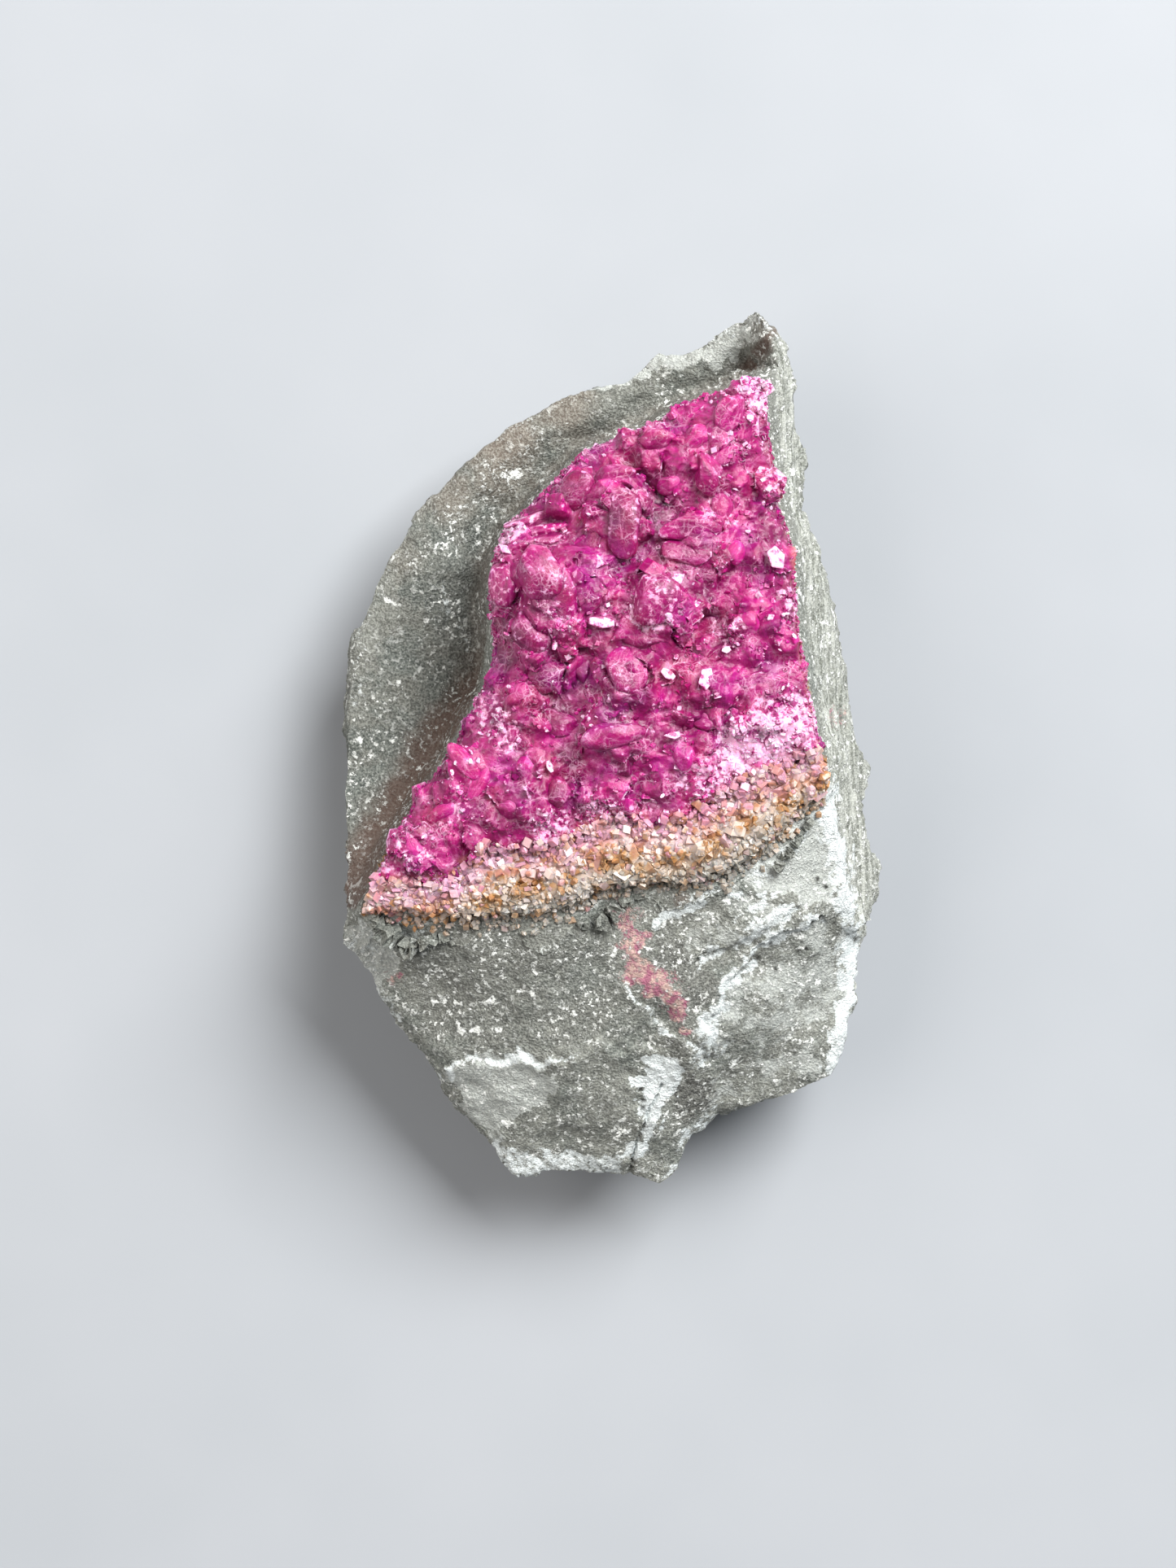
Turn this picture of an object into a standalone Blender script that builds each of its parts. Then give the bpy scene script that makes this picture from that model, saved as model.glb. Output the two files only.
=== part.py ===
"""A hand specimen of pink cobaltoan calcite on grey dolomite, lying on its back with the crystals up.

Seen from above, +Y runs towards the stone's pointed tip and +X to the right of its crystal face.
The origin is on the flat broken face that it rests on. Plan sizes below are in millimetres.
"""

import math
import random

import bmesh
import bpy
from mathutils import Matrix, Vector, geometry, noise

MM = 0.001

# Driving dimensions, in millimetres.
GAP = 0.3  # clearance between two pieces that lie against each other
RIM_STEP = 1.9  # spacing of points along the broken rim
FRONT_STEP = 2.3  # spacing of points over the front
BACK_STEP = 3.8  # spacing of points over the back
LONGEST_EDGE = 4.2  # no edge of the rock is left longer than this
ROUGHNESS = 0.30  # height of the broken surface's chips
SELVAGE = 0.6  # width of bare rock right of the crystals

# The flat joint that the crystals grew on: its height at the origin and its slopes.
BENCH_HEIGHT = 18.5
BENCH_SLOPE_X = 0.081
BENCH_SLOPE_Y = -0.049

# The stone's broken rim from its tip anticlockwise, as (x, y, height of the rim).
RIM = [
    (12.0, 36.0, 13.0), (9.7, 34.9, 11.5), (8.3, 34.6, 11.0), (6.1, 32.8, 10.5),
    (4.7, 32.7, 10.2), (3.9, 33.1, 10.2), (1.1, 30.7, 9.8), (-0.7, 30.3, 9.6),
    (-3.9, 29.8, 9.4), (-6.6, 27.9, 9.2), (-7.9, 27.6, 9.2), (-10.2, 25.9, 9.0),
    (-12.9, 23.1, 8.8), (-15.9, 19.5, 8.6), (-18.5, 16.1, 8.6), (-20.3, 12.5, 8.8),
    (-21.4, 8.4, 9.2), (-21.9, 3.0, 9.8), (-22.0, -3.0, 10.6), (-21.7, -8.5, 11.8),
    (-21.5, -11.9, 13.2), (-22.2, -15.2, 14.4), (-22.1, -16.2, 14.0), (-19.7, -18.5, 13.0),
    (-18.7, -20.7, 12.4), (-15.5, -24.3, 11.6), (-13.5, -27.5, 11.0), (-10.2, -32.5, 10.2),
    (-8.5, -34.5, 9.8), (-7.8, -35.1, 9.6), (-4.8, -35.0, 9.6), (-0.7, -35.0, 9.6),
    (1.9, -35.4, 9.6), (4.1, -36.0, 9.6), (6.1, -34.7, 9.8), (6.8, -32.1, 10.2),
    (8.9, -29.6, 10.6), (11.9, -29.1, 10.8), (15.4, -28.6, 10.8), (18.3, -26.8, 11.0),
    (19.5, -23.8, 11.4), (20.1, -20.5, 11.8), (19.9, -17.0, 12.0), (20.6, -14.3, 10.6),
    (22.0, -11.9, 9.0), (22.4, -9.9, 8.6), (21.7, -5.7, 8.6), (20.8, -0.9, 8.8),
    (20.1, 3.9, 9.2), (19.6, 8.4, 9.6), (18.9, 12.3, 10.0), (17.5, 16.7, 10.6),
    (15.7, 19.7, 11.2), (15.2, 22.5, 11.8), (15.1, 26.2, 12.4), (14.4, 30.4, 13.2),
    (13.8, 33.7, 13.8), (12.6, 35.6, 13.6),
]

# The crystals' left edge, from their top end down to the stone's left corner.
LEFT_EDGE = [
    (11.4, 29.7), (9.7, 28.8), (8.2, 28.3), (5.9, 27.7), (4.2, 26.4), (1.0, 25.0),
    (-1.9, 24.0), (-4.1, 21.9), (-6.5, 19.4), (-8.2, 18.2), (-9.3, 15.4), (-9.7, 12.6),
    (-9.3, 9.4), (-9.4, 6.2), (-10.7, 3.7), (-11.9, 1.1), (-13.9, -1.8), (-16.4, -5.6),
    (-18.3, -9.3), (-19.5, -12.3),
]

# The line where the crystals give way to the iron-stained band, from left to right.
BAND_TOP = [
    (-18.9, -10.8), (-17.4, -10.9), (-15.4, -11.0), (-13.1, -10.6), (-11.0, -9.3),
    (-10.2, -8.0), (-8.2, -8.1), (-5.3, -7.9), (-2.4, -7.0), (-0.7, -5.9), (0.5, -5.3),
    (3.4, -6.1), (6.2, -5.3), (8.0, -4.4), (10.0, -3.0), (13.5, -1.4), (16.5, -0.4),
]

# The lower edge of the stained band, where the grey broken face begins, from left to right.
BAND_FOOT = [
    (-19.5, -12.9), (-16.3, -12.6), (-13.6, -12.9), (-11.0, -13.1), (-6.5, -12.8),
    (-4.5, -12.6), (-2.4, -11.7), (-1.3, -10.9), (1.9, -10.4), (6.2, -10.2), (8.9, -9.6),
    (10.3, -8.7), (12.0, -7.6), (13.4, -6.2), (14.9, -4.4), (17.0, -3.0),
]

# The crystals' right edge, from the band up to their top end.
RIGHT_EDGE = [
    (16.8, -1.2), (16.3, 1.4), (15.9, 3.7), (15.4, 5.7), (15.1, 8.1), (14.8, 10.9),
    (14.6, 13.8), (14.4, 16.1), (13.4, 19.5), (12.7, 23.9), (12.4, 28.2),
]

# The foot of the wall below the left edge, as (x, y, height).
WALL_FOOT = [
    (13.0, 31.4, 10.6), (11.3, 31.2, 9.4), (9.2, 30.2, 9.0), (5.4, 29.1, 8.7),
    (3.3, 27.7, 8.5), (0.4, 26.4, 8.3), (-2.6, 25.3, 8.1), (-5.0, 23.0, 7.9),
    (-7.4, 20.6, 7.7), (-9.3, 19.2, 7.6), (-10.6, 16.2, 7.8), (-11.3, 12.6, 8.0),
    (-10.9, 8.8, 7.8), (-11.0, 5.6, 8.0), (-12.6, 3.4, 8.6), (-14.4, 0.2, 9.2),
    (-16.4, -3.2, 9.9), (-18.6, -6.6, 11.2), (-20.4, -10.4, 12.8),
]

# The shoulder inside the thin rim, where the hollow starts to fall away, as (x, y, height).
RIM_SHOULDER = [
    (10.6, 33.4, 11.6), (8.4, 32.2, 11.0), (4.2, 30.6, 10.0), (-0.5, 28.0, 9.9),
    (-5.0, 26.4, 9.7), (-9.0, 23.6, 9.7), (-12.2, 20.2, 9.6), (-15.2, 16.2, 9.6),
    (-17.2, 12.0, 9.7), (-18.4, 7.8, 9.9), (-18.8, 3.0, 10.3), (-19.2, -2.8, 11.0),
]

# A low knoll on the hollow's floor, beside the crystals' bulge.
KNOLL = [(-12.9, 17.4, 9.3), (-12.6, 15.2, 9.7), (-13.2, 12.6, 9.0)]

# The lit edge of the slab at the right of the tip, as (x, y, height).
SLAB_EDGE = [(12.8, 34.2, 14.6), (13.4, 32.2, 15.4), (13.6, 29.4, 16.6)]

# A ledge half way down the right-hand side, as (x, y, height).
SIDE_LEDGE = [
    (14.2, 26.0, 15.2), (14.4, 22.4, 14.6), (15.2, 18.8, 14.2), (16.4, 15.0, 13.8),
    (17.2, 11.0, 13.6), (17.8, 6.4, 13.4), (18.4, 1.6, 13.2), (19.2, -3.0, 13.0),
    (20.2, -8.0, 12.6), (20.4, -11.6, 12.2),
]

# The edge between the grey lower face and the right-hand side, as (x, y, height).
LOWER_RIGHT_EDGE = [
    (17.6, -4.2, 19.2), (18.3, -7.4, 18.0), (19.1, -10.8, 16.8), (19.5, -13.8, 15.4),
]

# Breaks across the grey lower face: its spine, and the lips of three shell-shaped flakes.
SPINE = [
    (2.3, -13.7, 18.6), (3.3, -16.3, 18.0), (5.3, -18.9, 17.4), (6.2, -21.5, 16.6),
    (6.0, -24.4, 15.6), (4.4, -27.6, 14.2), (3.0, -31.2, 12.6), (2.4, -33.8, 11.2),
]
FLAKE_LIPS = [
    [
        (-13.8, -25.6, 13.1), (-12.4, -24.4, 13.8), (-10.6, -25.0, 14.0), (-7.6, -25.0, 14.5),
        (-5.2, -25.2, 14.9), (-2.8, -24.6, 15.3), (-0.6, -24.2, 15.6), (2.4, -24.6, 15.6),
    ],
    [(3.9, -14.0, 18.7), (6.2, -12.3, 19.2), (9.3, -11.1, 19.5), (12.4, -11.4, 19.2), (14.4, -12.3, 18.6)],
    [
        (16.2, -12.9, 17.8), (13.6, -14.8, 17.8), (11.9, -15.6, 17.7), (10.4, -18.3, 17.2),
        (8.2, -21.4, 16.6), (8.0, -23.6, 16.0),
    ],
]
FLAKE_DROP = 0.5  # how far the face steps down below each flake's lip
FLAKE_TREAD = 0.6  # plan width of that step

# The outline of the flat broken face that the stone rests on, anticlockwise from the tip's end.
FOOT = [
    (10.2, 30.0), (5.0, 28.6), (-1.8, 26.2), (-6.4, 23.4), (-11.6, 18.2), (-14.4, 14.6),
    (-17.2, 8.2), (-17.6, 2.0), (-18.9, -5.2), (-17.4, -11.6), (-18.2, -14.4), (-15.0, -19.6),
    (-12.6, -24.4), (-8.6, -29.8), (-5.6, -31.8), (0.2, -30.9), (3.4, -31.6), (4.2, -27.2),
    (8.2, -25.6), (13.6, -25.4), (16.4, -22.0), (16.6, -16.6), (18.6, -12.0), (18.4, -7.6),
    (17.2, -2.4), (16.9, 4.2), (15.6, 9.8), (13.6, 15.6), (12.4, 19.4), (12.0, 26.0),
]
# The sides bulge between that outline and the rim: how far out, and how high, as shares of the way.
BELLY_OUT = 0.68
BELLY_UP = 0.42
THINNEST = 1.6  # least thickness between the front and the back, away from the rim itself

# Lumps in the crystal crust where rosettes of crystals stand out: (x, y, radius, height above the bench).
ROSETTES = [
    (-3.9, 12.4, 5.3, 6.2), (-6.9, 14.6, 3.3, 4.6), (3.5, 11.2, 4.0, 5.6), (0.3, 18.3, 4.0, 5.0),
    (1.3, 5.4, 3.7, 5.0), (0.3, 1.2, 3.1, 4.4), (-4.9, 8.0, 3.3, 4.8), (7.7, 22.6, 4.2, 3.6),
    (7.0, 15.6, 4.2, 4.2), (11.4, 9.6, 3.4, 3.6), (-6.7, 3.6, 3.4, 3.6), (-11.7, -1.8, 3.0, 3.2),
    (-6.2, -3.4, 3.6, 3.6), (-15.4, -7.8, 2.6, 2.6), (7.0, 5.2, 3.8, 4.0), (5.6, -0.8, 3.4, 3.0),
    (11.8, 3.4, 3.2, 3.0), (-2.8, 20.0, 3.2, 3.8), (9.6, 26.4, 2.8, 3.4), (12.0, 15.4, 2.8, 3.0),
    (-0.2, -2.6, 2.8, 3.0), (-10.9, -6.0, 2.8, 2.8), (3.6, 24.2, 2.6, 3.2), (11.2, 20.6, 2.6, 3.0),
]
CRUST_EDGE = 1.3  # thickness of the crust at its broken edge
OVERHANG = 0.8  # how far crystals reach out over the hollow
CRUST_STEP = 2.9  # spacing of points over the crust
CRYSTAL_SPACING = 2.15  # middle to middle of neighbouring crystals
CRYSTAL_SIZES = (1.15, 2.45)  # half-length of the smallest and largest crystal
RHOMB_FLATNESS = (0.42, 0.8)  # height of a rhomb along its axis, as a share of an even cube's
LEAN = 0.5  # how far crystals tilt from the surface they grow on

BAND_EDGE = 0.7  # thickness of the stained band at its edges
BAND_RISE = 0.9  # how much thicker it is along its middle
BAND_STEP = 2.2
GRAIN_SPACING = 1.85
GRAIN_SIZES = (0.75, 1.35)

COLOURS = {
    "grey_dolomite": ((0.24, 0.24, 0.225), 0.85),
    "cobaltoan_calcite": ((0.50, 0.025, 0.22), 0.25),
    "iron_stained_calcite": ((0.50, 0.25, 0.10), 0.60),
}


def bench(x, y):
    """Height of the joint that the crystals grew on."""
    return BENCH_HEIGHT + BENCH_SLOPE_X * x + BENCH_SLOPE_Y * y


def on_bench(line, lift=0.0):
    return [(x, y, bench(x, y) + lift) for x, y in line]


def resampled(line, step, closed=False):
    """The line with points added so that none lie further apart than step."""
    points = [Vector(p) for p in line]
    ends = points[1:] + points[:1] if closed else points[1:]
    found = []
    for a, b in zip(points, ends):
        parts = max(1, math.ceil((b - a).length / step))
        found += [a.lerp(b, i / parts) for i in range(parts)]
    return found if closed else found + [points[-1]]


def inside(x, y, polygon):
    """Whether a point lies inside a polygon in plan."""
    hit = False
    for (ax, ay, *_), (bx, by, *_) in zip(polygon, polygon[1:] + polygon[:1]):
        if (ay > y) != (by > y) and x < ax + (y - ay) / (by - ay) * (bx - ax):
            hit = not hit
    return hit


def distance_to(x, y, line):
    """Distance in plan from a point to a line."""
    spot = Vector((x, y))
    best = math.inf
    for a, b in zip(line, line[1:]):
        a, b = Vector(a[:2]), Vector(b[:2])
        run = b - a
        share = max(0.0, min(1.0, (spot - a).dot(run) / max(run.length_squared, 1e-9)))
        best = min(best, (spot - a - run * share).length)
    return best


def scatter(polygon, step, clear, lines, seed):
    """Jittered points of a triangular grid inside a polygon, kept clear of the given lines."""
    rng = random.Random(seed)
    xs, ys = [p[0] for p in polygon], [p[1] for p in polygon]
    found = []
    row = 0
    y = min(ys)
    while y < max(ys):
        x = min(xs) + (row % 2) * step / 2
        while x < max(xs):
            spot = (x + rng.uniform(-0.22, 0.22) * step, y + rng.uniform(-0.22, 0.22) * step)
            if inside(*spot, polygon) and all(distance_to(*spot, line) > clear for line in lines):
                found.append(spot)
            x += step
        y += step * math.sqrt(0.75)
        row += 1
    return found


def triangulated(rim, lines, loose, corners=True):
    """Triangles in plan that keep the rim and the lines as edges: (points, triangles, known heights)."""
    points, edges = [], []
    heights = []
    for line, closed in [(rim, True)] + [(line, False) for line in lines]:
        first = len(points)
        points += [Vector(p[:2]) for p in line]
        heights += [p[2] for p in line]
        edges += [(i, i + 1) for i in range(first, len(points) - 1)]
        if closed:
            edges.append((len(points) - 1, first))
    points += [Vector(p) for p in loose]
    heights += [None] * len(loose)
    made, _, faces, sources, _, _ = geometry.delaunay_2d_cdt(
        points, edges, [list(range(len(rim)))], 1, 1e-5
    )
    if corners:
        on_rim = [bool(source) and min(source) < len(rim) for source in sources]
        tips = [face for face in faces if all(on_rim[i] for i in face)]
        middles = [sum((made[i] for i in face), Vector((0, 0))) / 3 for face in tips]
        return triangulated(rim, lines, loose + middles, corners=False)
    known = [next((heights[i] for i in source if heights[i] is not None), None) for source in sources]
    return made, faces, known


def relaxed(points, faces, known, rounds=260):
    """Heights for every point: the known ones stay, and the others settle to their neighbours' mean."""
    near = [set() for _ in points]
    for face in faces:
        for i in face:
            near[i].update(j for j in face if j != i)
    fixed = [h for h in known if h is not None]
    heights = [sum(fixed) / len(fixed) if h is None else h for h in known]
    free = [(i, tuple(near[i])) for i, h in enumerate(known) if h is None and near[i]]
    for _ in range(rounds):
        for i, others in free:
            heights[i] = sum(heights[j] for j in others) / len(others)
    return heights


def split_long_edges(bm, longest):
    """Halves each edge that is too long until none is left."""
    for _ in range(5):
        long_edges = [e for e in bm.edges if e.calc_length() > longest * MM]
        if not long_edges:
            return
        bmesh.ops.subdivide_edges(bm, edges=long_edges, cuts=1)
        bmesh.ops.triangulate(bm, faces=bm.faces[:])


def object_from(bm, name, material):
    """A named object from a bmesh, with its own material."""
    mesh = bpy.data.meshes.new(name)
    bmesh.ops.triangulate(bm, faces=bm.faces[:])
    bm.to_mesh(mesh)
    bm.free()
    obj = bpy.data.objects.new(name, mesh)
    bpy.context.scene.collection.objects.link(obj)
    if material:
        mesh.materials.append(material)
    return obj


def make_material(name):
    colour, roughness = COLOURS[name]
    material = bpy.data.materials.new(name)
    material.use_nodes = True
    shader = material.node_tree.nodes["Principled BSDF"]
    shader.inputs["Base Color"].default_value = (*colour, 1.0)
    shader.inputs["Roughness"].default_value = roughness
    shader.inputs["Metallic"].default_value = 0.0
    return material


def flake_lines(lip):
    """A flake's lip, and the line below it where the face has stepped down."""
    step = Vector((FLAKE_TREAD * 0.5, -FLAKE_TREAD, -FLAKE_DROP))
    return [lip, [tuple(Vector(p) + step) for p in lip]]


def front_lines():
    """Every line that the front of the rock is broken along."""
    bench_right = [(x + SELVAGE, y) for x, y in RIGHT_EDGE]
    lines = [
        on_bench(BAND_FOOT[:-1]),
        on_bench(LEFT_EDGE[:-1]),
        on_bench([LEFT_EDGE[0], (12.3, 29.6), bench_right[-1]]),
        on_bench([BAND_FOOT[-2], (17.3, -2.9)] + bench_right),
        on_bench([LEFT_EDGE[-2], LEFT_EDGE[-1], BAND_FOOT[0]]),
        WALL_FOOT, RIM_SHOULDER, KNOLL, SLAB_EDGE, SIDE_LEDGE, LOWER_RIGHT_EDGE, SPINE,
    ]
    for lip in FLAKE_LIPS:
        lines += flake_lines(lip)
    return [resampled(line, RIM_STEP) for line in lines]


def bench_outline():
    bench_right = [(x + SELVAGE, y) for x, y in RIGHT_EDGE]
    return BAND_FOOT[:-1] + [(17.3, -2.9)] + bench_right + [(12.3, 29.6)] + LEFT_EDGE


def front_surface(rim):
    lines = front_lines()
    outline = bench_outline()
    loose = scatter(rim, FRONT_STEP, FRONT_STEP * 0.5, lines + [list(rim) + [rim[0]]], seed=3)
    points, faces, known = triangulated(rim, lines, loose)
    for i, point in enumerate(points):
        if known[i] is None and inside(point.x, point.y, outline):
            known[i] = bench(point.x, point.y)
    return points, faces, relaxed(points, faces, known)


def belly_points(foot, rim):
    """A line round the sides, between the foot and the rim, that wanders in and out."""
    found = []
    for spot in foot:
        edge = min(rim, key=lambda p: (p.xy - spot.xy).length)
        wander = noise.noise(spot / 6.0)
        point = spot.lerp(edge, BELLY_OUT * (1.0 + 0.45 * wander))
        point.z = edge.z * BELLY_UP * (1.0 - 0.5 * noise.noise(spot / 9.0))
        found.append(point)
    return found


def back_surface(rim, front_points, front_heights):
    """The back: flat where the stone rests, with steep broken sides up to the rim."""
    foot = resampled([(x, y, 0.0) for x, y in FOOT], BACK_STEP, closed=True)
    belly = belly_points(foot, rim)
    lines = [foot + foot[:1], belly + belly[:1]]
    loose = scatter(rim, BACK_STEP, BACK_STEP * 0.4, lines + [list(rim) + [rim[0]]], seed=5)
    points, faces, known = triangulated(rim, lines, loose)
    for i, point in enumerate(points):
        if known[i] is None and inside(point.x, point.y, FOOT):
            known[i] = 0.0
    heights = relaxed(points, faces, known)
    for i, point in enumerate(points):
        if known[i] is None:
            above = min(range(len(front_points)), key=lambda k: (front_points[k] - point).length)
            heights[i] = min(heights[i], front_heights[above] - THINNEST)
    return points, faces, heights


def chip(spot):
    """Height of the broken surface's chips at a point, from about -1 to 1."""
    broad = noise.noise(spot / 5.5)
    sharp = noise.turbulence(spot / 2.6, 2, True)
    return 0.9 * broad + 0.9 * (sharp - 0.45)


def roughen(bm, outline):
    """Chips the surface everywhere but on the bench and on the face that it rests on."""
    bm.normal_update()
    moves = []
    for vert in bm.verts:
        x, y, z = vert.co / MM
        if z < 0.02 or abs(z - bench(x, y)) < 0.02:
            continue
        near_bench = inside(x, y, outline) or distance_to(x, y, outline + outline[:1]) < 0.6
        if near_bench and z > 12:
            continue
        strength = ROUGHNESS * min(1.0, 0.25 + z / 6.0)
        moves.append((vert, vert.normal * chip(vert.co / MM) * strength * MM))
    for vert, move in moves:
        vert.co += move


def build_host_rock(material):
    rim = resampled(RIM, RIM_STEP, closed=True)
    bm = bmesh.new()
    front = front_surface(rim)
    for points, faces, heights in (front, back_surface(rim, front[0], front[2])):
        verts = [bm.verts.new((p.x * MM, p.y * MM, h * MM)) for p, h in zip(points, heights)]
        for face in faces:
            bm.faces.new([verts[i] for i in face])
    bmesh.ops.remove_doubles(bm, verts=bm.verts[:], dist=0.02 * MM)
    bmesh.ops.recalc_face_normals(bm, faces=bm.faces[:])
    split_long_edges(bm, LONGEST_EDGE)
    roughen(bm, bench_outline())
    return object_from(bm, "host_rock", material)


def prism(outline, low, high):
    """A closed body over a plan outline, between two heights given as functions of x and y."""
    bm = bmesh.new()
    bottom = [bm.verts.new((x * MM, y * MM, low(x, y) * MM)) for x, y in outline]
    top = [bm.verts.new((x * MM, y * MM, high(x, y) * MM)) for x, y in outline]
    bm.faces.new(bottom[::-1])
    bm.faces.new(top)
    for i in range(len(outline)):
        j = (i + 1) % len(outline)
        bm.faces.new((bottom[i], bottom[j], top[j], top[i]))
    bmesh.ops.recalc_face_normals(bm, faces=bm.faces[:])
    return bm


def crust_rise(x, y):
    """Thickness of the crust: a thin floor with a dome for each rosette."""
    rise = CRUST_EDGE + 0.2
    for cx, cy, radius, height in ROSETTES:
        share = math.hypot(x - cx, y - cy) / radius
        if share < 1.0:
            rise = max(rise, CRUST_EDGE + (height - CRUST_EDGE) * math.sqrt(1.0 - share * share))
    return rise


def band_rise(x, y):
    """Thickness of the stained band: thin at its foot, thicker where it meets the crystals."""
    inner = min(1.0, distance_to(x, y, BAND_FOOT) / 2.0)
    return BAND_EDGE + BAND_RISE * inner * (0.6 + 0.4 * noise.noise(Vector((x, y, 0.0)) / 2.0))


def crust_outline(overhang=0.0):
    """The crystals' plan outline, anticlockwise, just clear of the band."""
    lower = [(x, y + GAP / 2) for x, y in BAND_TOP]
    right = [(x + overhang / 2, y) for x, y in RIGHT_EDGE]
    top = [(12.2 + overhang / 2, 29.4 + overhang / 2)]
    left = [(x - overhang, y + overhang / 2) for x, y in LEFT_EDGE[:-2]]
    return lower + right + top + left


def band_outline():
    """The stained band's plan outline, anticlockwise."""
    upper = [(x, y - GAP / 2) for x, y in reversed(BAND_TOP)]
    return BAND_FOOT + [(17.0, -1.4)] + upper


def bed(outline, rise, edge_rise, step, seed):
    """A closed bed over the bench: flat below, and lumpy above."""
    rim = resampled([(x, y, edge_rise) for x, y in outline], step * 0.8, closed=True)
    for point in rim:
        point.z *= 1.0 + 0.7 * noise.noise(Vector((point.x, point.y, 0.0)) / 2.3)
    loose = scatter(rim, step, step * 0.5, [list(rim) + [rim[0]]], seed)
    points, faces, known = triangulated(rim, [], loose)
    rises = [rise(p.x, p.y) if h is None else h for p, h in zip(points, known)]
    bm = bmesh.new()
    bases = [bench(p.x, p.y) + GAP for p in points]
    top = [bm.verts.new((p.x * MM, p.y * MM, (b + r) * MM)) for p, b, r in zip(points, bases, rises)]
    for face in faces:
        bm.faces.new([top[i] for i in face])
    rim_edges = [e for e in bm.edges if e.is_boundary]
    skirt = bmesh.ops.extrude_edge_only(bm, edges=rim_edges)["geom"]
    for vert in (v for v in skirt if isinstance(v, bmesh.types.BMVert)):
        x, y, _ = vert.co / MM
        vert.co.z = (bench(x, y) + GAP) * MM
    bmesh.ops.holes_fill(bm, edges=[e for e in bm.edges if e.is_boundary], sides=0)
    bmesh.ops.recalc_face_normals(bm, faces=bm.faces[:])
    return bm


def rhomb_corners(flatness):
    """A cleavage rhomb stood on its point: a cube on its corner, flattened along its axis."""
    upright = Vector((1, 1, 1)).rotation_difference(Vector((0, 0, 1))).to_matrix()
    found = []
    for x in (-1, 1):
        for y in (-1, 1):
            for z in (-1, 1):
                corner = upright @ Vector((x, y, z)) / math.sqrt(3)
                found.append(Vector((corner.x, corner.y, corner.z * flatness)))
    return found


def blade_corners(slenderness):
    """A scalenohedron: two six-sided points base to base, with a zigzag girdle."""
    girdle = [
        Vector((math.cos(math.radians(60 * i)), math.sin(math.radians(60 * i)), 0.22 * (-1) ** i))
        / slenderness
        for i in range(6)
    ]
    return girdle + [Vector((0, 0, 1.0)), Vector((0, 0, -1.0))]


def add_crystal(bm, corners, matrix):
    """Adds one closed flat-faced crystal."""
    verts = [bm.verts.new(matrix @ corner) for corner in corners]
    hull = bmesh.ops.convex_hull(bm, input=verts)
    spare = [v for v in hull["geom_interior"] if isinstance(v, bmesh.types.BMVert)]
    bmesh.ops.delete(bm, geom=spare, context="VERTS")


def upward(rise, x, y):
    """The lumpy surface's outward direction."""
    reach = 0.5
    slope_x = (rise(x + reach, y) - rise(x - reach, y)) / (2 * reach) + BENCH_SLOPE_X
    slope_y = (rise(x, y + reach) - rise(x, y - reach)) / (2 * reach) + BENCH_SLOPE_Y
    return Vector((-slope_x, -slope_y, 1.0)).normalized()


def build_crystals(name, outline, rise, spacing, sizes, seed):
    """All the crystals of one bed as one mesh of closed, overlapping bodies."""
    rng = random.Random(seed)
    bm = bmesh.new()
    for x, y in scatter(outline, spacing, 0.35, [outline + outline[:1]], seed):
        thick = min(1.0, rise(x, y) / ROSETTES[0][3])
        size = sizes[0] + (sizes[1] - sizes[0]) * thick * rng.uniform(0.4, 1.25)
        outward = upward(rise, x, y)
        lean = Vector([rng.uniform(-LEAN, LEAN) for _ in range(3)])
        turn = (outward + lean).to_track_quat("Z", "Y").to_matrix().to_4x4()
        spin = Matrix.Rotation(rng.uniform(0, math.tau), 4, "Z")
        if rng.random() < 0.7:
            corners = rhomb_corners(rng.uniform(*RHOMB_FLATNESS))
        else:
            corners = blade_corners(rng.uniform(1.3, 2.0))
        height = bench(x, y) + GAP + rise(x, y) - size * 0.25
        place = Matrix.Translation(Vector((x, y, height)) * MM)
        add_crystal(bm, corners, place @ turn @ spin @ Matrix.Scale(size * MM, 4))
    bmesh.ops.recalc_face_normals(bm, faces=bm.faces[:])
    crystals = object_from(bm, name, None)
    crystals.hide_render = True
    crystals.display_type = "WIRE"
    return crystals


def keep_above_bench(obj, outline):
    """Trims crystals that would reach past the bed's outline or below its flat underside."""
    bm = prism(outline, lambda x, y: bench(x, y) + GAP, lambda x, y: bench(x, y) + 12.0)
    room = object_from(bm, obj.name + "_room", None)
    room.hide_render = True
    room.display_type = "WIRE"
    trim = obj.modifiers.new("trim", "BOOLEAN")
    trim.operation = "INTERSECT"
    trim.object = room


def without_voids(obj):
    """Applies the Booleans, and drops the small closed shells that gaps between crystals leave inside."""
    bpy.ops.object.select_all(action="DESELECT")
    bpy.context.view_layer.objects.active = obj
    for modifier in list(obj.modifiers):
        bpy.ops.object.modifier_apply(modifier=modifier.name)
    bm = bmesh.new()
    bm.from_mesh(obj.data)
    waiting = set(bm.verts)
    shells = []
    while waiting:
        shell = []
        reached = [waiting.pop()]
        while reached:
            vert = reached.pop()
            shell.append(vert)
            near = [e.other_vert(vert) for e in vert.link_edges]
            reached += [v for v in near if v in waiting]
            waiting.difference_update(near)
        shells.append(shell)
    shells.sort(key=len)
    bmesh.ops.delete(bm, geom=[v for shell in shells[:-1] for v in shell], context="VERTS")
    bm.to_mesh(obj.data)
    bm.free()


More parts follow.
